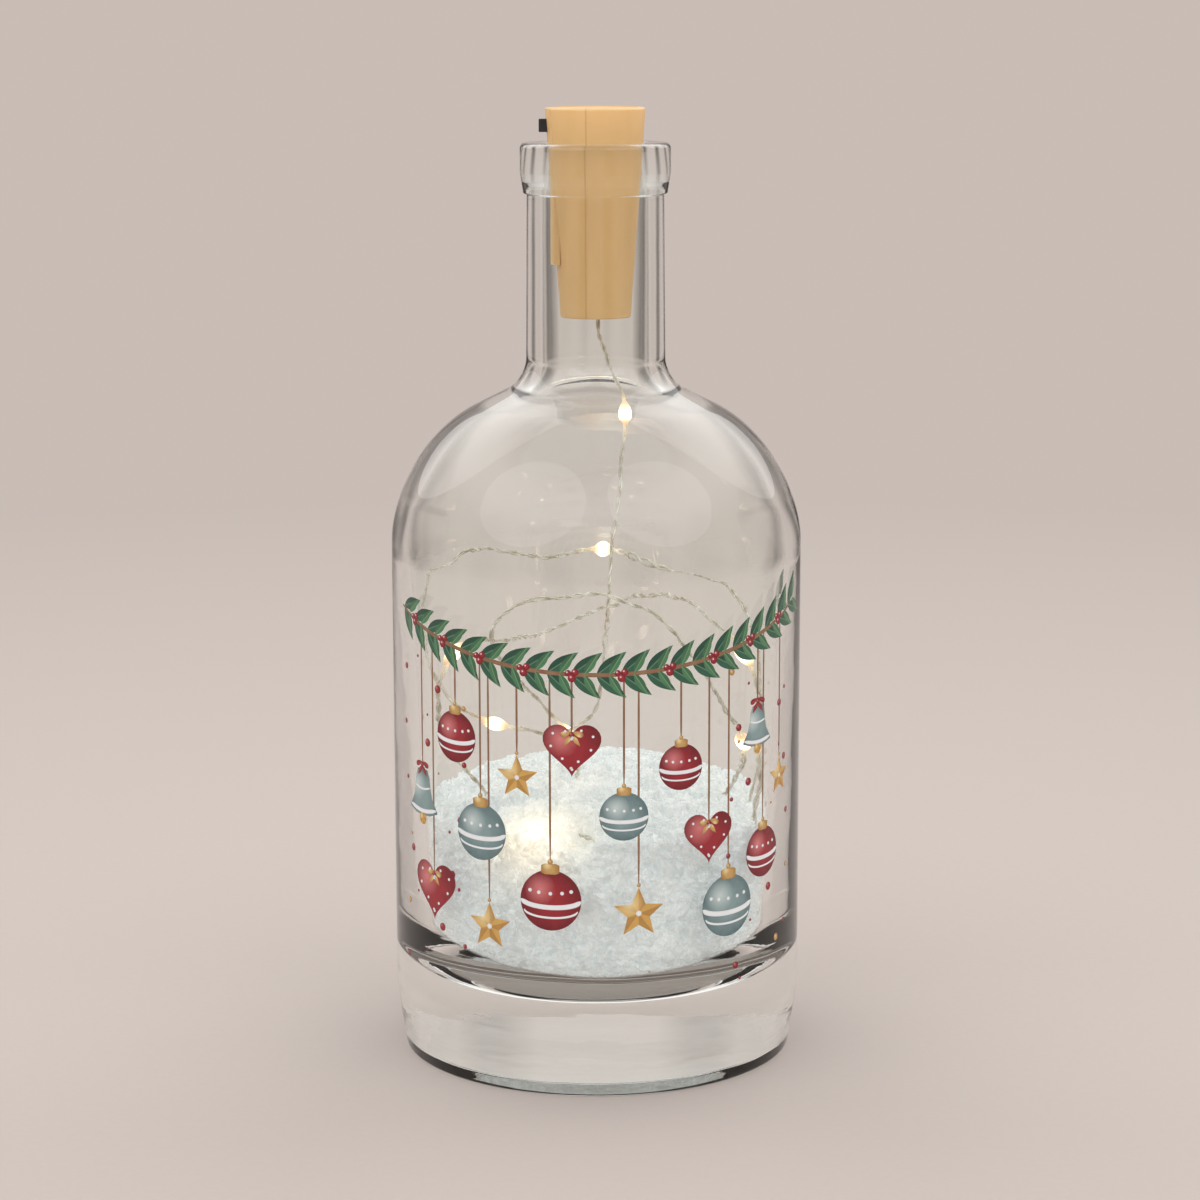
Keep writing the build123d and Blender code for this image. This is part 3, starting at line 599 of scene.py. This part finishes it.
lumps = frame["nodes"]["crystal_fill"].data
picked_faces = pick_random.choices(lumps.polygons, [face.area for face in lumps.polygons], k=grain_count)
points, faces, count = [], [], 0
for face in picked_faces:
    size = pick_random.uniform(*grain_sizes)
    corners = [lumps.vertices[index].co for index in face.vertices]
    shares = sorted((pick_random.random(), pick_random.random()))
    spot = shares[0] * corners[0] + (shares[1] - shares[0]) * corners[1] + (1 - shares[1]) * corners[2]
    centre = spot - face.normal * size * pick_random.uniform(grain_sink, 2 * grain_sink)
    turn = Matrix.Rotation(pick_random.uniform(0, 2 * pi), 3, pick_random.choice("XYZ"))
    turn = turn @ Matrix.Rotation(pick_random.uniform(0, 2 * pi), 3, pick_random.choice("XYZ"))
    shape, sides = pick_random.choice(grain_shapes)
    chip = shape @ np.array(turn).T * size + np.array(centre)
    reaches = np.hypot(chip[:, 0], chip[:, 1])
    dome = heap_top - heap_edge_drop * (reaches / heap_edge_reach) ** 2 + pick_random.uniform(0, heap_rough)
    chip[:, 2] += max(0, cavity_low + grain_gap - chip[:, 2].min()) - max(0, (chip[:, 2] - dome).max())
    past = max(reach - cavity_reach(height) + grain_gap for reach, height in zip(reaches, chip[:, 2]))
    middle = hypot(*centre.xy)
    if past > -wall_pull and middle > abs(past):
        chip[:, :2] -= np.array(centre.xy) / middle * past
    points.append(chip)
    faces.append(sides + count)
    count += len(shape)
grain_mesh = bpy.data.meshes.new("grains")
grain_mesh.from_pydata(np.concatenate(points).tolist(), [], np.concatenate(faces).tolist())
grains = linked("crystal_grains", grain_mesh)


def dressed(node, finish, angle=30):
    """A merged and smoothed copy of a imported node, in its finish, that stands for the node."""
    alone()
    copy = linked(f"{node}_finished", frame["nodes"][node].data.copy())
    bpy.context.view_layer.objects.active = copy
    copy.select_set(True)
    bpy.ops.mesh.customdata_custom_splitnormals_clear()
    bpy.ops.object.mode_set(mode="EDIT")
    bpy.ops.mesh.select_all(action="SELECT")
    bpy.ops.mesh.remove_doubles(threshold=0.0005 * mm)
    bpy.ops.object.mode_set(mode="OBJECT")
    bpy.ops.object.shade_smooth_by_angle(angle=radians(angle))
    copy.data.materials.clear()
    copy.data.materials.append(finish)
    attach(copy, frame["nodes"][node]["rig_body"])
    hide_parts(node)
    return copy


crystal_finish = shade("crystal_white", crystal_white)
bed = dressed("crystal_fill", crystal_finish)
bpy.ops.object.mode_set(mode="EDIT")
bpy.ops.mesh.select_all(action="SELECT")
bpy.ops.transform.shrink_fatten(value=-grain_bed)
bpy.ops.object.mode_set(mode="OBJECT")
grains.data.materials.append(crystal_finish)
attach(grains, "root")

# Stopper. Its shell is moulded in a cork coloured plastic, a little see-through where it is thin, with the
# mould's parting line down its front. The battery tray in the same plastic closes its top.
parting_x = -2 * mm
parting_width = 0.22 * mm


def cork_plastic(place):
    """Ochre plastic: faint flow marks along it, fine grain, and the parting line as a thin ridge."""
    across, front = part_of(place, "X"), part_of(place, "Y")
    long_place = place.node("VectorMath", {"operation": "MULTIPLY"}, {0: place, 1: (1, 1, 0.25)})
    flow = mottle(long_place, 3.5 * mm, detail=3)
    grain = mottle(place, 0.35 * mm, detail=2)
    away = (across - parting_x).maths("ABSOLUTE")
    ridge = (1 - away * (1 / parting_width)).maths("MAXIMUM", 0)
    ridge = ridge * front.maths("LESS_THAN", 0)
    colour = blend_colours(flow, (0.85, 0.52, 0.215, 1), (0.93, 0.59, 0.26, 1))
    colour = blend_colours(ridge * 0.3, colour, (0.5, 0.25, 0.08, 1))
    return place.node("BsdfPrincipled", inputs={
        "Base Color": colour, "Roughness": grain * 0.16 + 0.34, "Subsurface Weight": 0.12,
        "Subsurface Radius": (2, 1, 0.4), "Subsurface Scale": 1 * mm,
        "Normal": bumps(ridge * 0.8 + grain * 0.05 + flow * 0.1, 0.12 * mm),
    })


def soft_silicone(place):
    """Milky silicone, dusty in random patches."""
    dust = mottle(place, 0.8 * mm)
    colour = blend_colours(dust, (0.78, 0.76, 0.7, 1), (0.88, 0.87, 0.83, 1))
    return place.node("BsdfPrincipled", inputs={"Base Color": colour, "Roughness": dust * 0.2 + 0.45})


cork_finish = shade("cork_plastic", cork_plastic)
for node in ("cork_shell", "battery_tray"):
    dressed(node, cork_finish)
dressed("wire_grommet", shade("soft_silicone", soft_silicone))

# Switch. A black slide switch sits behind the tray's tongue. Its lever reaches out through a slot and is
# moulded in a matt black plastic, worn in random patches.


def black_plastic(place):
    """Matt black moulding, a little worn."""
    wear = mottle(place, 0.9 * mm, detail=3)
    colour = blend_colours(wear, (0.008, 0.008, 0.009, 1), (0.03, 0.03, 0.032, 1))
    return place.node("BsdfPrincipled", inputs={
        "Base Color": colour, "Roughness": wear * 0.3 + 0.3, "Normal": bumps(wear, 0.02 * mm),
    })


switch_finish = shade("black_plastic", black_plastic)
for node in ("switch_body", "switch_lever"):
    dressed(node, switch_finish)

# Cells, contacts and board. Three button cells of nickel plated steel with a seal of nylon stand in the tray
# between two spring steel contacts, over a small green circuit board with one resistor and thin wires.


def plated(name, dark, pale, metallic=1.0, roughness=0.24, size=0.6 * mm):
    """A finish that varies between two colours in fine brushed streaks."""
    def recipe(place):
        drawn_place = place.node("VectorMath", {"operation": "MULTIPLY"}, {0: place, 1: (1, 1, 6)})
        streaks = mottle(drawn_place, size, 3)
        return place.node("BsdfPrincipled", inputs={
            "Base Color": blend_colours(streaks, dark, pale), "Metallic": metallic,
            "Roughness": streaks * 0.18 + roughness, "Normal": bumps(streaks, 0.008 * mm),
        })
    return shade(name, recipe)


cell_finish = plated("nickel_plate", (0.6, 0.6, 0.58, 1), (0.78, 0.78, 0.75, 1))
contact_finish = plated("spring_steel", (0.5, 0.5, 0.48, 1), (0.68, 0.67, 0.63, 1))
nylon_finish = plated("cell_nylon", (0.1, 0.1, 0.12, 1), (0.16, 0.17, 0.2, 1), 0, 0.45)
board_finish = plated("board_green", (0.01, 0.11, 0.04, 1), (0.02, 0.18, 0.07, 1), 0, 0.3)
resistor_finish = plated("resistor_black", (0.012, 0.012, 0.014, 1), (0.05, 0.05, 0.05, 1), 0, 0.35)
wire_sleeve = plated("wire_sleeve", (0.35, 0.02, 0.015, 1), (0.5, 0.04, 0.03, 1), 0, 0.4)
for number in (1, 2, 3):
    for part in ("cell_can", "cell_cap"):
        dressed(f"{part}_{number}", cell_finish)
    dressed(f"cell_seal_{number}", nylon_finish)
for node in ("contact_leaf", "contact_plate"):
    dressed(node, contact_finish)
dressed("circuit_board", board_finish)
dressed("resistor", resistor_finish)
dressed("switch_wire", wire_sleeve)
dressed("inner_wires", wire_finish)

# Print. Enamel inks, screened on the glass in thin flat layers and fired. A leafy garland hangs across the
# front, and baubles, hearts, bells and stars hang from it on threads with bows, with dots strewn round them.
glass_radius = 45 * mm
print_low = 22 * mm
garland_height = 92.5 * mm
garland_sag = 10 * mm
garland_half = 52 * mm
stem_width = 0.9 * mm
leaf_long = 8 * mm
leaf_broad = 2.6 * mm
leaf_pairs = 21
leaf_turn = radians(38)
ornament_size = 6 * mm
thread_width = 0.45 * mm
dot_size = 0.6 * mm
dot_count = 46
ink_low = 0.02 * mm
ink_high = 0.07 * mm
over_threads = 0.05 * mm
over_bodies = 0.08 * mm
fill_rings = 4
red_baubles = [(-0.63, 0.78, 0.93), (-0.19, 0.31, 1.1), (0.35, 0.71, 0.83), (0.79, 0.4, 0.93)]
grey_baubles = [(-0.5, 0.5, 1.03), (0.11, 0.57, 0.87), (0.58, 0.26, 1.13)]
grey_bells = [(-0.85, 0.57, 1.07), (0.75, 0.79, 0.93)]
red_hearts = [(-0.77, 0.28, 1.23), (-0.1, 0.77, 1.1), (0.48, 0.48, 1.07)]
gold_stars = [(-0.33, 0.68, 0.8), (-0.46, 0.21, 0.87), (0.17, 0.27, 0.93), (0.92, 0.62, 0.7)]


def garland_line(arc):
    """The stem's height where it is that far round the glass."""
    return garland_height + garland_sag * (arc / garland_half) ** 2


def mapped(shape, spread):
    """Give a shape its ink map, which runs about -1 to 1 over it, from each vertex's place."""
    ink_map = shape.data.uv_layers.new(name="ink_map")
    for loop in shape.data.loops:
        ink_map.data[loop.index].uv = spread(shape.data.vertices[loop.vertex_index].co)
    shape.data.uv_layers.active = ink_map


def flat_shape(name, outline):
    """A closed outline filled with rings towards its middle, which is at 0."""
    alone()
    bpy.ops.mesh.primitive_circle_add(vertices=len(outline), radius=1, calc_uvs=False)
    shape = bpy.context.object
    shape.name = name
    for vertex, (across, up) in zip(shape.data.vertices, outline):
        vertex.co = Vector((across, up, 0))
    bpy.ops.object.mode_set(mode="EDIT")
    bpy.ops.mesh.select_all(action="SELECT")
    for ring in range(fill_rings, 0, -1):
        bpy.ops.mesh.extrude_edges_move()
        share = max((ring - 1) / ring, 0.001)
        bpy.ops.transform.resize(value=(share, share, share), center_override=(0, 0, 0))
    bpy.ops.mesh.merge(type="CENTER")
    bpy.ops.mesh.select_all(action="SELECT")
    bpy.ops.mesh.normals_make_consistent(inside=False)
    bpy.ops.object.mode_set(mode="OBJECT")
    if shape.data.polygons[0].normal.z < 0:
        shape.data.flip_normals()
    reach = max(hypot(across, up) for across, up in outline)
    mapped(shape, lambda place: place.xy / reach)
    return shape


def strip(name, line, width, steps=24):
    """A brush line along a path, given as a function of the share from 0 to 1. It narrows at both ends."""
    alone()
    bpy.ops.mesh.primitive_grid_add(x_subdivisions=steps, y_subdivisions=2, size=1, calc_uvs=False)
    shape = bpy.context.object
    shape.name = name
    mapped(shape, lambda place: (0.2, 1.6 * place.y))
    for vertex in shape.data.vertices:
        share = vertex.co.x + 0.5
        before, after = Vector(line(share - 0.01)), Vector(line(share + 0.01))
        along = (after - before).normalized()
        thin = width * (0.45 + 0.55 * min(1, 8 * min(share, 1 - share)))
        across = vertex.co.y * thin * Vector((-along.y, along.x))
        vertex.co = Vector((*(Vector(line(share)) + across), 0))
    return shape


def laid(shape, arc, height, turn=0.0, size=1.0):
    """A copy of a flat shape, turned and sized, at its place on the unrolled glass."""
    copy = linked(shape.name, shape.data.copy())
    copy.data.transform(Matrix.Translation((arc, height, 0)) @ Matrix.Rotation(turn, 4, "Z") @
                        Matrix.Diagonal((size, size, 1, 1)))
    return copy


def screened(name, shapes, finish, node=None, layer=0.0):
    """Flat shapes joined, wrapped on the glass and given the ink's thickness, over the layers below."""
    piece = joined(name, shapes)
    piece.data.name = name
    for vertex in piece.data.vertices:
        reach = glass_radius + ink_high + layer
        turn = vertex.co.x / glass_radius
        vertex.co = Vector((reach * sin(turn), -reach * cos(turn), vertex.co.y))
    alone()
    bpy.context.view_layer.objects.active = piece
    thick = piece.modifiers.new("thick", "SOLIDIFY")
    thick.thickness = ink_high - ink_low if layer < over_bodies else over_bodies - over_threads
    thick.offset = -1
    bpy.ops.object.modifier_apply(modifier="thick")
    for face in piece.data.polygons:
        face.use_smooth = False
    piece.data.materials.clear()
    piece.data.materials.append(finish)
    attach(piece, "root")
    if node:
        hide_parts(node)


def ink(name, deep, plain, light, form="round"):
    """Fired ink, brushed like watercolour: it pools at a shape's rim and is thin where it catches light.

    A leaf has a pale rib and one darker half, and a star has two tones to each ray.
    """
    def recipe(place):
        pools = mottle(place, 2.4 * mm, detail=4, rough=0.6)
        spread = place.node("UVMap", {"uv_map": "ink_map"})
        across, up = part_of(spread, "X"), part_of(spread, "Y")
        rim = spread.node("VectorMath", {"operation": "LENGTH"}, {0: spread}, output=1)
        lit = (-0.34, 0.36, 0)
        glint = spread.node("VectorMath", {"operation": "DISTANCE"}, {0: spread, 1: lit}, output=1)
        edge = (rim * 1.2 + pools * 0.9 - 0.85).held()
        bright = (1 - glint * 1.9 + pools * 0.5 - 0.2).maths("MULTIPLY", 0.9, clamp=True)
        if form == "leaf":
            half = up.maths("GREATER_THAN", 0)
            rib = (1 - up.maths("ABSOLUTE") * 22).maths("MAXIMUM", 0)
            edge = (half * 0.45 + pools * 0.9 - 0.25).held()
            bright = (rib * 0.8 + pools * 0.5 - 0.3).held()
        if form == "star":
            turns = up.maths("ARCTAN2", across) * (5 / (2 * pi)) - 1.25
            edge = (turns.maths("FRACT").maths("GREATER_THAN", 0.5) * 0.55 + pools * 0.6 - 0.2).held()
        if form == "plain":
            bright = (pools * 1.2 - 0.4).held()
        colour = blend_colours(bright, blend_colours(edge, plain, deep), light)
        return place.node("BsdfPrincipled", inputs={
            "Base Color": colour, "Roughness": pools * 0.2 + 0.25, "Normal": bumps(pools, 0.01 * mm),
        })
    return shade(name, recipe)


green_ink = ink("green_ink", (0.01, 0.045, 0.03, 1), (0.035, 0.13, 0.075, 1), (0.18, 0.34, 0.2, 1), "leaf")
moss_ink = ink("moss_ink", (0.03, 0.1, 0.05, 1), (0.09, 0.24, 0.11, 1), (0.3, 0.46, 0.24, 1), "leaf")
red_ink = ink("red_ink", (0.13, 0.006, 0.01, 1), (0.34, 0.02, 0.03, 1), (0.7, 0.22, 0.22, 1))
bow_ink = ink("bow_ink", (0.16, 0.006, 0.01, 1), (0.38, 0.018, 0.025, 1), (0.62, 0.14, 0.14, 1), "leaf")
grey_ink = ink("grey_ink", (0.09, 0.15, 0.16, 1), (0.25, 0.35, 0.35, 1), (0.62, 0.7, 0.69, 1))
gold_ink = ink("gold_ink", (0.38, 0.17, 0.035, 1), (0.68, 0.4, 0.11, 1), (0.92, 0.74, 0.38, 1), "star")
cap_ink = ink("cap_ink", (0.3, 0.14, 0.04, 1), (0.6, 0.36, 0.12, 1), (0.9, 0.72, 0.38, 1))
brown_ink = ink("brown_ink", (0.11, 0.05, 0.025, 1), (0.24, 0.12, 0.06, 1), (0.45, 0.26, 0.15, 1), "plain")
white_ink = ink("white_ink", (0.66, 0.68, 0.7, 1), (0.86, 0.87, 0.88, 1), (1, 1, 1, 1), "plain")


def around(count, reach, start=0.0):
    """An outline from a function of the angle that gives how far out it is."""
    turns = [2 * pi * index / count for index in range(count)]
    return [(reach(turn) * cos(turn + start), reach(turn) * sin(turn + start)) for turn in turns]


def sized(outline, size=ornament_size):
    """An outline of unit size, in metres."""
    return [(across * size, up * size) for across, up in outline]


hearts = []
for index in range(48):
    turn = -2 * pi * (index + 0.5) / 48
    tall = 13 * cos(turn) - 5 * cos(2 * turn) - 2 * cos(3 * turn) - cos(4 * turn)
    hearts.append((16 * sin(turn) ** 3 / 17, (tall + 2.5) / 17))
leaf_edge = []
for index in range(15):
    share = index / 14
    leaf_edge.append(((share - 0.5) * leaf_long, 0.5 * leaf_broad * sin(pi * share ** 0.8)))
bell_half = [(0, 0.95), (0.3, 0.88), (0.43, 0.62), (0.47, 0.3), (0.56, -0.05), (0.8, -0.4), (0.86, -0.52)]
bell_edge = [(-across, up) for across, up in reversed(bell_half[1:])] + bell_half
drops = [2 * pi * index / 24 for index in range(24)]
loop_edge = [(cos(turn), 0.62 * sin(turn) * sin(turn / 2) ** 1.3) for turn in drops]

bauble = flat_shape("bauble", sized(around(40, lambda turn: 1)))
heart = flat_shape("heart", sized(hearts))
star = flat_shape("star", sized(around(10, lambda turn: 0.45 if round(5 * turn / pi) % 2 else 1, pi / 2)))
bell = flat_shape("bell", sized(bell_edge + [(0.45, -0.66), (0, -0.7), (-0.45, -0.66)]))
leaf = flat_shape("leaf", leaf_edge + [(across, -up) for across, up in leaf_edge[-2:0:-1]])
dot = flat_shape("dot", sized(around(14, lambda turn: 1), dot_size))
cap = flat_shape("cap", sized(around(16, lambda turn: 0.3 / max(abs(cos(turn)), 1.7 * abs(sin(turn))))))
loop = flat_shape("loop", sized(loop_edge, 1.1 * mm))
patterns = [bauble, heart, star, bell, leaf, dot, cap, loop]

# The garland: a brown stem, broad leaves in pairs, small leaves between them and berries in threes.
leaves, sprigs, berries, shines = [], [], [], []
for pair in range(leaf_pairs):
    arc = garland_half * (2 * pair / (leaf_pairs - 1) - 1)
    rise = 2 * garland_sag * arc / garland_half ** 2
    for side in (1, -1):
        slant = rise + side * leaf_turn
        leaves.append(laid(leaf, arc + 0.5 * leaf_long * cos(slant),
                           garland_line(arc) + 0.5 * leaf_long * sin(slant), turn=slant))
        slant = rise + side * 1.55 * leaf_turn
        arc_between = arc + garland_half / (leaf_pairs - 1)
        sprigs.append(laid(leaf, arc_between + 0.36 * leaf_long * cos(slant),
                           garland_line(arc_between) + 0.36 * leaf_long * sin(slant), turn=slant, size=0.68))
    if pair % 2:
        for step, (across, up) in enumerate([(-0.75, 0.25), (0.7, 0.45), (0.05, -0.8)]):
            berry_place = (arc + across * mm, garland_line(arc) + up * mm)
            berries.append(laid(dot, *berry_place, size=1.15 + 0.15 * step))
            shines.append(laid(dot, berry_place[0] - 0.2 * mm, berry_place[1] + 0.22 * mm, size=0.22))
stem = strip("stem", lambda share: (garland_half * (2 * share - 1) * 1.02,
                                    garland_line(garland_half * (2 * share - 1))), stem_width, 100)
screened("print_stem", [stem], brown_ink, layer=0.02 * mm)
screened("print_leaves", leaves, green_ink, "print_garland", layer=0.01 * mm)
screened("print_sprigs", sprigs, moss_ink, layer=0.03 * mm)
screened("print_berries", berries, red_ink, layer=over_threads)


def spots(places):
    """Where ornaments hang: each one's arc, height and size, from its shares of the print's room."""
    return [(across * garland_half, print_low + up * (garland_height - print_low), size)
            for across, up, size in places]


# The ornaments, and what is drawn on them: caps, bands, dots, bows, rims and clappers.
reds, greys, golds, caps, bows, gold_bows, knots, bands = [], [], [], [], [], [], [], []


def tie_bow(arc, height, size=1.0, bows=bows):
    """A bow of two loops and two tails at an ornament's top."""
    for side in (1, -1):
        bows.append(laid(loop, arc + side * size * mm, height + 0.35 * size * mm, size=size,
                         turn=radians(160 if side == 1 else 20)))
        bows.append(laid(leaf, arc + side * 0.75 * size * mm, height - 0.95 * size * mm, size=0.3 * size,
                         turn=radians(-90 + side * 38)))
    knots.append(laid(dot, arc, height + 0.15 * mm, size=0.8 * size))


for kind, places in ((reds, spots(red_baubles)), (greys, spots(grey_baubles))):
    for arc, height, size in places:
        reach = size * ornament_size
        kind.append(laid(bauble, arc, height, size=size))
        caps.append(laid(cap, arc, height + 1.03 * reach, size=size))
        caps.append(laid(dot, arc, height + 1.27 * reach, size=0.9 * size))
        for tilt, width in ((-0.08, 0.16), (-0.42, 0.07)):
            bands.append(strip("band", lambda share: (
                arc + 0.96 * reach * sqrt(1 - tilt ** 2) * sin(pi * (share - 0.5)),
                height + reach * (tilt - 0.24 * cos(pi * (share - 0.5)) + 0.08)), width * reach))
        for step in range(5):
            swing = pi * (step - 2) / 6.5
            up = 0.42 - 0.2 * cos(swing)
            bands.append(laid(dot, arc + 0.82 * reach * sin(swing), height + reach * up, size=0.62 * size))
for arc, height, size in spots(red_hearts):
    reach = size * ornament_size
    reds.append(laid(heart, arc, height, size=size))
    for across, up in hearts[1::4]:
        bands.append(laid(dot, arc + 0.76 * across * reach, height + 0.76 * up * reach + 0.02 * reach,
                          size=0.45 * size))
    tie_bow(arc, height + 0.5 * reach, 1.2, gold_bows)
for arc, height, size in spots(grey_bells):
    reach = size * ornament_size
    greys.append(laid(bell, arc, height, size=size))
    bands.append(strip("rim", lambda share: (
        arc + 0.78 * reach * (2 * share - 1), height - reach * (0.42 + 0.12 * sin(pi * share))), 0.14 * reach))
    bands.append(strip("waist", lambda share: (
        arc + 0.45 * reach * (2 * share - 1), height + reach * (0.3 - 0.08 * sin(pi * share))), 0.07 * reach))
    golds.append(laid(dot, arc, height - 0.8 * reach, size=2.1 * size))
    tie_bow(arc, height + 1.02 * reach, 1.2)
for arc, height, size in spots(gold_stars):
    golds.append(laid(star, arc, height, size=size))
    bands.append(laid(dot, arc, height, size=1.1 * size))
    caps.append(laid(dot, arc, height + 1.1 * size * ornament_size, size=0.7))

threads = []
tops = {"ball": 1.3, "heart": 0.5, "bell": 1.0, "star": 1.1}
hung = [("ball", red_baubles + grey_baubles), ("heart", red_hearts), ("bell", grey_bells),
        ("star", gold_stars)]
for kind, places in hung:
    for arc, height, size in spots(places):
        low = height + tops[kind] * size * ornament_size
        high = garland_line(arc)
        threads.append(strip("thread", lambda share: (arc, low + share * (high - low)), thread_width, 12))

dots, gold_dots = [], []
for number in range(1, dot_count + 1):
    swing = radians(137.5 * number)
    side = 1 if number % 2 else -1
    arc = side * garland_half * (1 - 0.42 * (1 + sin(swing)) / 2)
    height = print_low + (garland_height - print_low) * number / dot_count
    (gold_dots if number % 5 == 0 else dots).append(laid(dot, arc, height, size=1 + 0.5 * cos(swing)))

screened("print_thread_lines", threads, brown_ink, "print_threads")
screened("print_dot_field", dots, red_ink, "print_dots")
screened("print_gold_dots", gold_dots, cap_ink)
screened("print_reds", reds, red_ink, "print_red", layer=over_threads)
screened("print_greys", greys, grey_ink, "print_grey", layer=over_threads)
screened("print_golds", golds, gold_ink, "print_gold", layer=over_threads)
screened("print_caps", caps, cap_ink, layer=over_bodies)
screened("print_bows", bows, bow_ink, layer=over_bodies)
screened("print_gold_bows", gold_bows, cap_ink, layer=over_bodies)
screened("print_knots", knots, red_ink, layer=over_bodies)
screened("print_whites", bands + shines, white_ink, layer=over_bodies)
for pattern in patterns:
    bpy.data.objects.remove(pattern)

# Studio. A plain pale floor that fades into the same pale tone all round, and four soft lamps high up. Glass
# and metal also see darker gaps between pale screens round the room, so that clear edges show from every side.
floor_reach = 3
floor_tint = (0.58, 0.505, 0.465)
screen_count = 8
lamp_reach = 1.1
lamp_height = 1.0
lamp_width = 1.5
lamp_power = 5.1
room_light = 0.69
fade_start = 0.2
fade_slope = 1.6
gaps_start = 0.3
gaps_slope = 2.5
gap_dark = 0.24
lamp_aim = Vector((0, 0, 0.1))


def screens(bearing, pale):
    """What glass and metal see round the room: pale screens with a soft dark gap between each two."""
    gap = (bearing * screen_count).maths("COSINE") * -0.5 + 0.5
    dark = [gap_dark * channel for channel in pale]
    stops = [(0, (*pale, 1)), (0.5, (*pale, 1)), (0.78, (*[0.6 * channel for channel in pale], 1)),
             (0.97, (*dark, 1))]
    return gap.node("ValToRGB", {"stops": stops}, {"Fac": gap})


def clear_rays(place):
    """1 for rays that glass or metal sends on, after the camera's own."""
    glossy, passing = place.node("LightPath", output=3), place.node("LightPath", output=6)
    return glossy.maths("MAXIMUM", passing)


def pale_floor(place):
    """Pale warm paper that turns into plain background far from the bottle."""
    far = place.node("VectorMath", {"operation": "LENGTH"}, {0: place}, output=1)
    fibre = mottle(place, 2 * mm, detail=3)
    dim = [0.96 * channel for channel in floor_tint]
    colour = blend_colours(fibre, (*dim, 1), (*floor_tint, 1))
    paper = place.node("BsdfPrincipled", inputs={
        "Base Color": colour, "Roughness": 0.75, "Specular IOR Level": 0.15,
        "Normal": bumps(fibre, 0.02 * mm),
    })
    bearing = part_of(place, "Y").maths("ARCTAN2", part_of(place, "X"))
    gaps = ((far - gaps_start) * gaps_slope).held() * clear_rays(place)
    seen = blend_colours(gaps, (*floor_tint, 1), screens(bearing, floor_tint))
    plain = place.node("Emission", inputs={"Color": seen})
    fade = ((far - fade_start) * fade_slope).held()
    return place.node("MixShader", inputs={0: fade, 1: paper, 2: plain})


alone()
bpy.ops.mesh.primitive_circle_add(vertices=96, radius=floor_reach, fill_type="NGON")
floor = bpy.context.object
floor.name = "floor"
floor.data.materials.append(shade("pale_floor", pale_floor))

for corner in range(4):
    turn = radians(45 + 90 * corner)
    place = Vector((lamp_reach * cos(turn), lamp_reach * sin(turn), lamp_height))
    aim = (lamp_aim - place).to_track_quat("-Z", "Y").to_euler()
    bpy.ops.object.light_add(type="AREA", location=place, rotation=aim)
    softbox = bpy.context.object
    softbox.data.shape = "DISK"
    softbox.data.size = lamp_width
    softbox.data.energy = lamp_power
    softbox.visible_camera = False
    softbox.visible_transmission = False

bpy.context.scene.view_settings.view_transform = "Standard"
world = bpy.data.worlds.new("studio")
bpy.context.scene.world = world
world.use_nodes = True
world.node_tree.nodes.clear()
sight = Paint(world.node_tree).node("TexCoord", output="Generated")
bearing = part_of(sight, "Y").maths("ARCTAN2", part_of(sight, "X"))
height = part_of(sight, "Z")
overhead = [(0, (*floor_tint, 1)), (0.4, (0.68, 0.64, 0.6, 1)), (0.58, (1.15, 1.13, 1.1, 1)),
            (0.74, (1.15, 1.13, 1.1, 1)), (0.9, (0.5, 0.47, 0.45, 1))]
rise = height.node("ValToRGB", {"stops": overhead}, {"Fac": height})
low = (1 - height * 2.4).held()
banded = blend_colours(low, rise, screens(bearing, floor_tint))
plain = sight.node("Background", inputs={"Color": (room_light, room_light, room_light, 1)})
backdrop = sight.node("Background", inputs={"Color": (*floor_tint, 1)})
bands = sight.node("Background", inputs={"Color": banded})
low_level = sight.node("MixShader", inputs={0: clear_rays(sight), 1: plain, 2: bands})
surface = sight.node("MixShader", inputs={0: sight.node("LightPath", output=0), 1: low_level, 2: backdrop})
sight.node("OutputWorld", inputs={"Surface": surface})
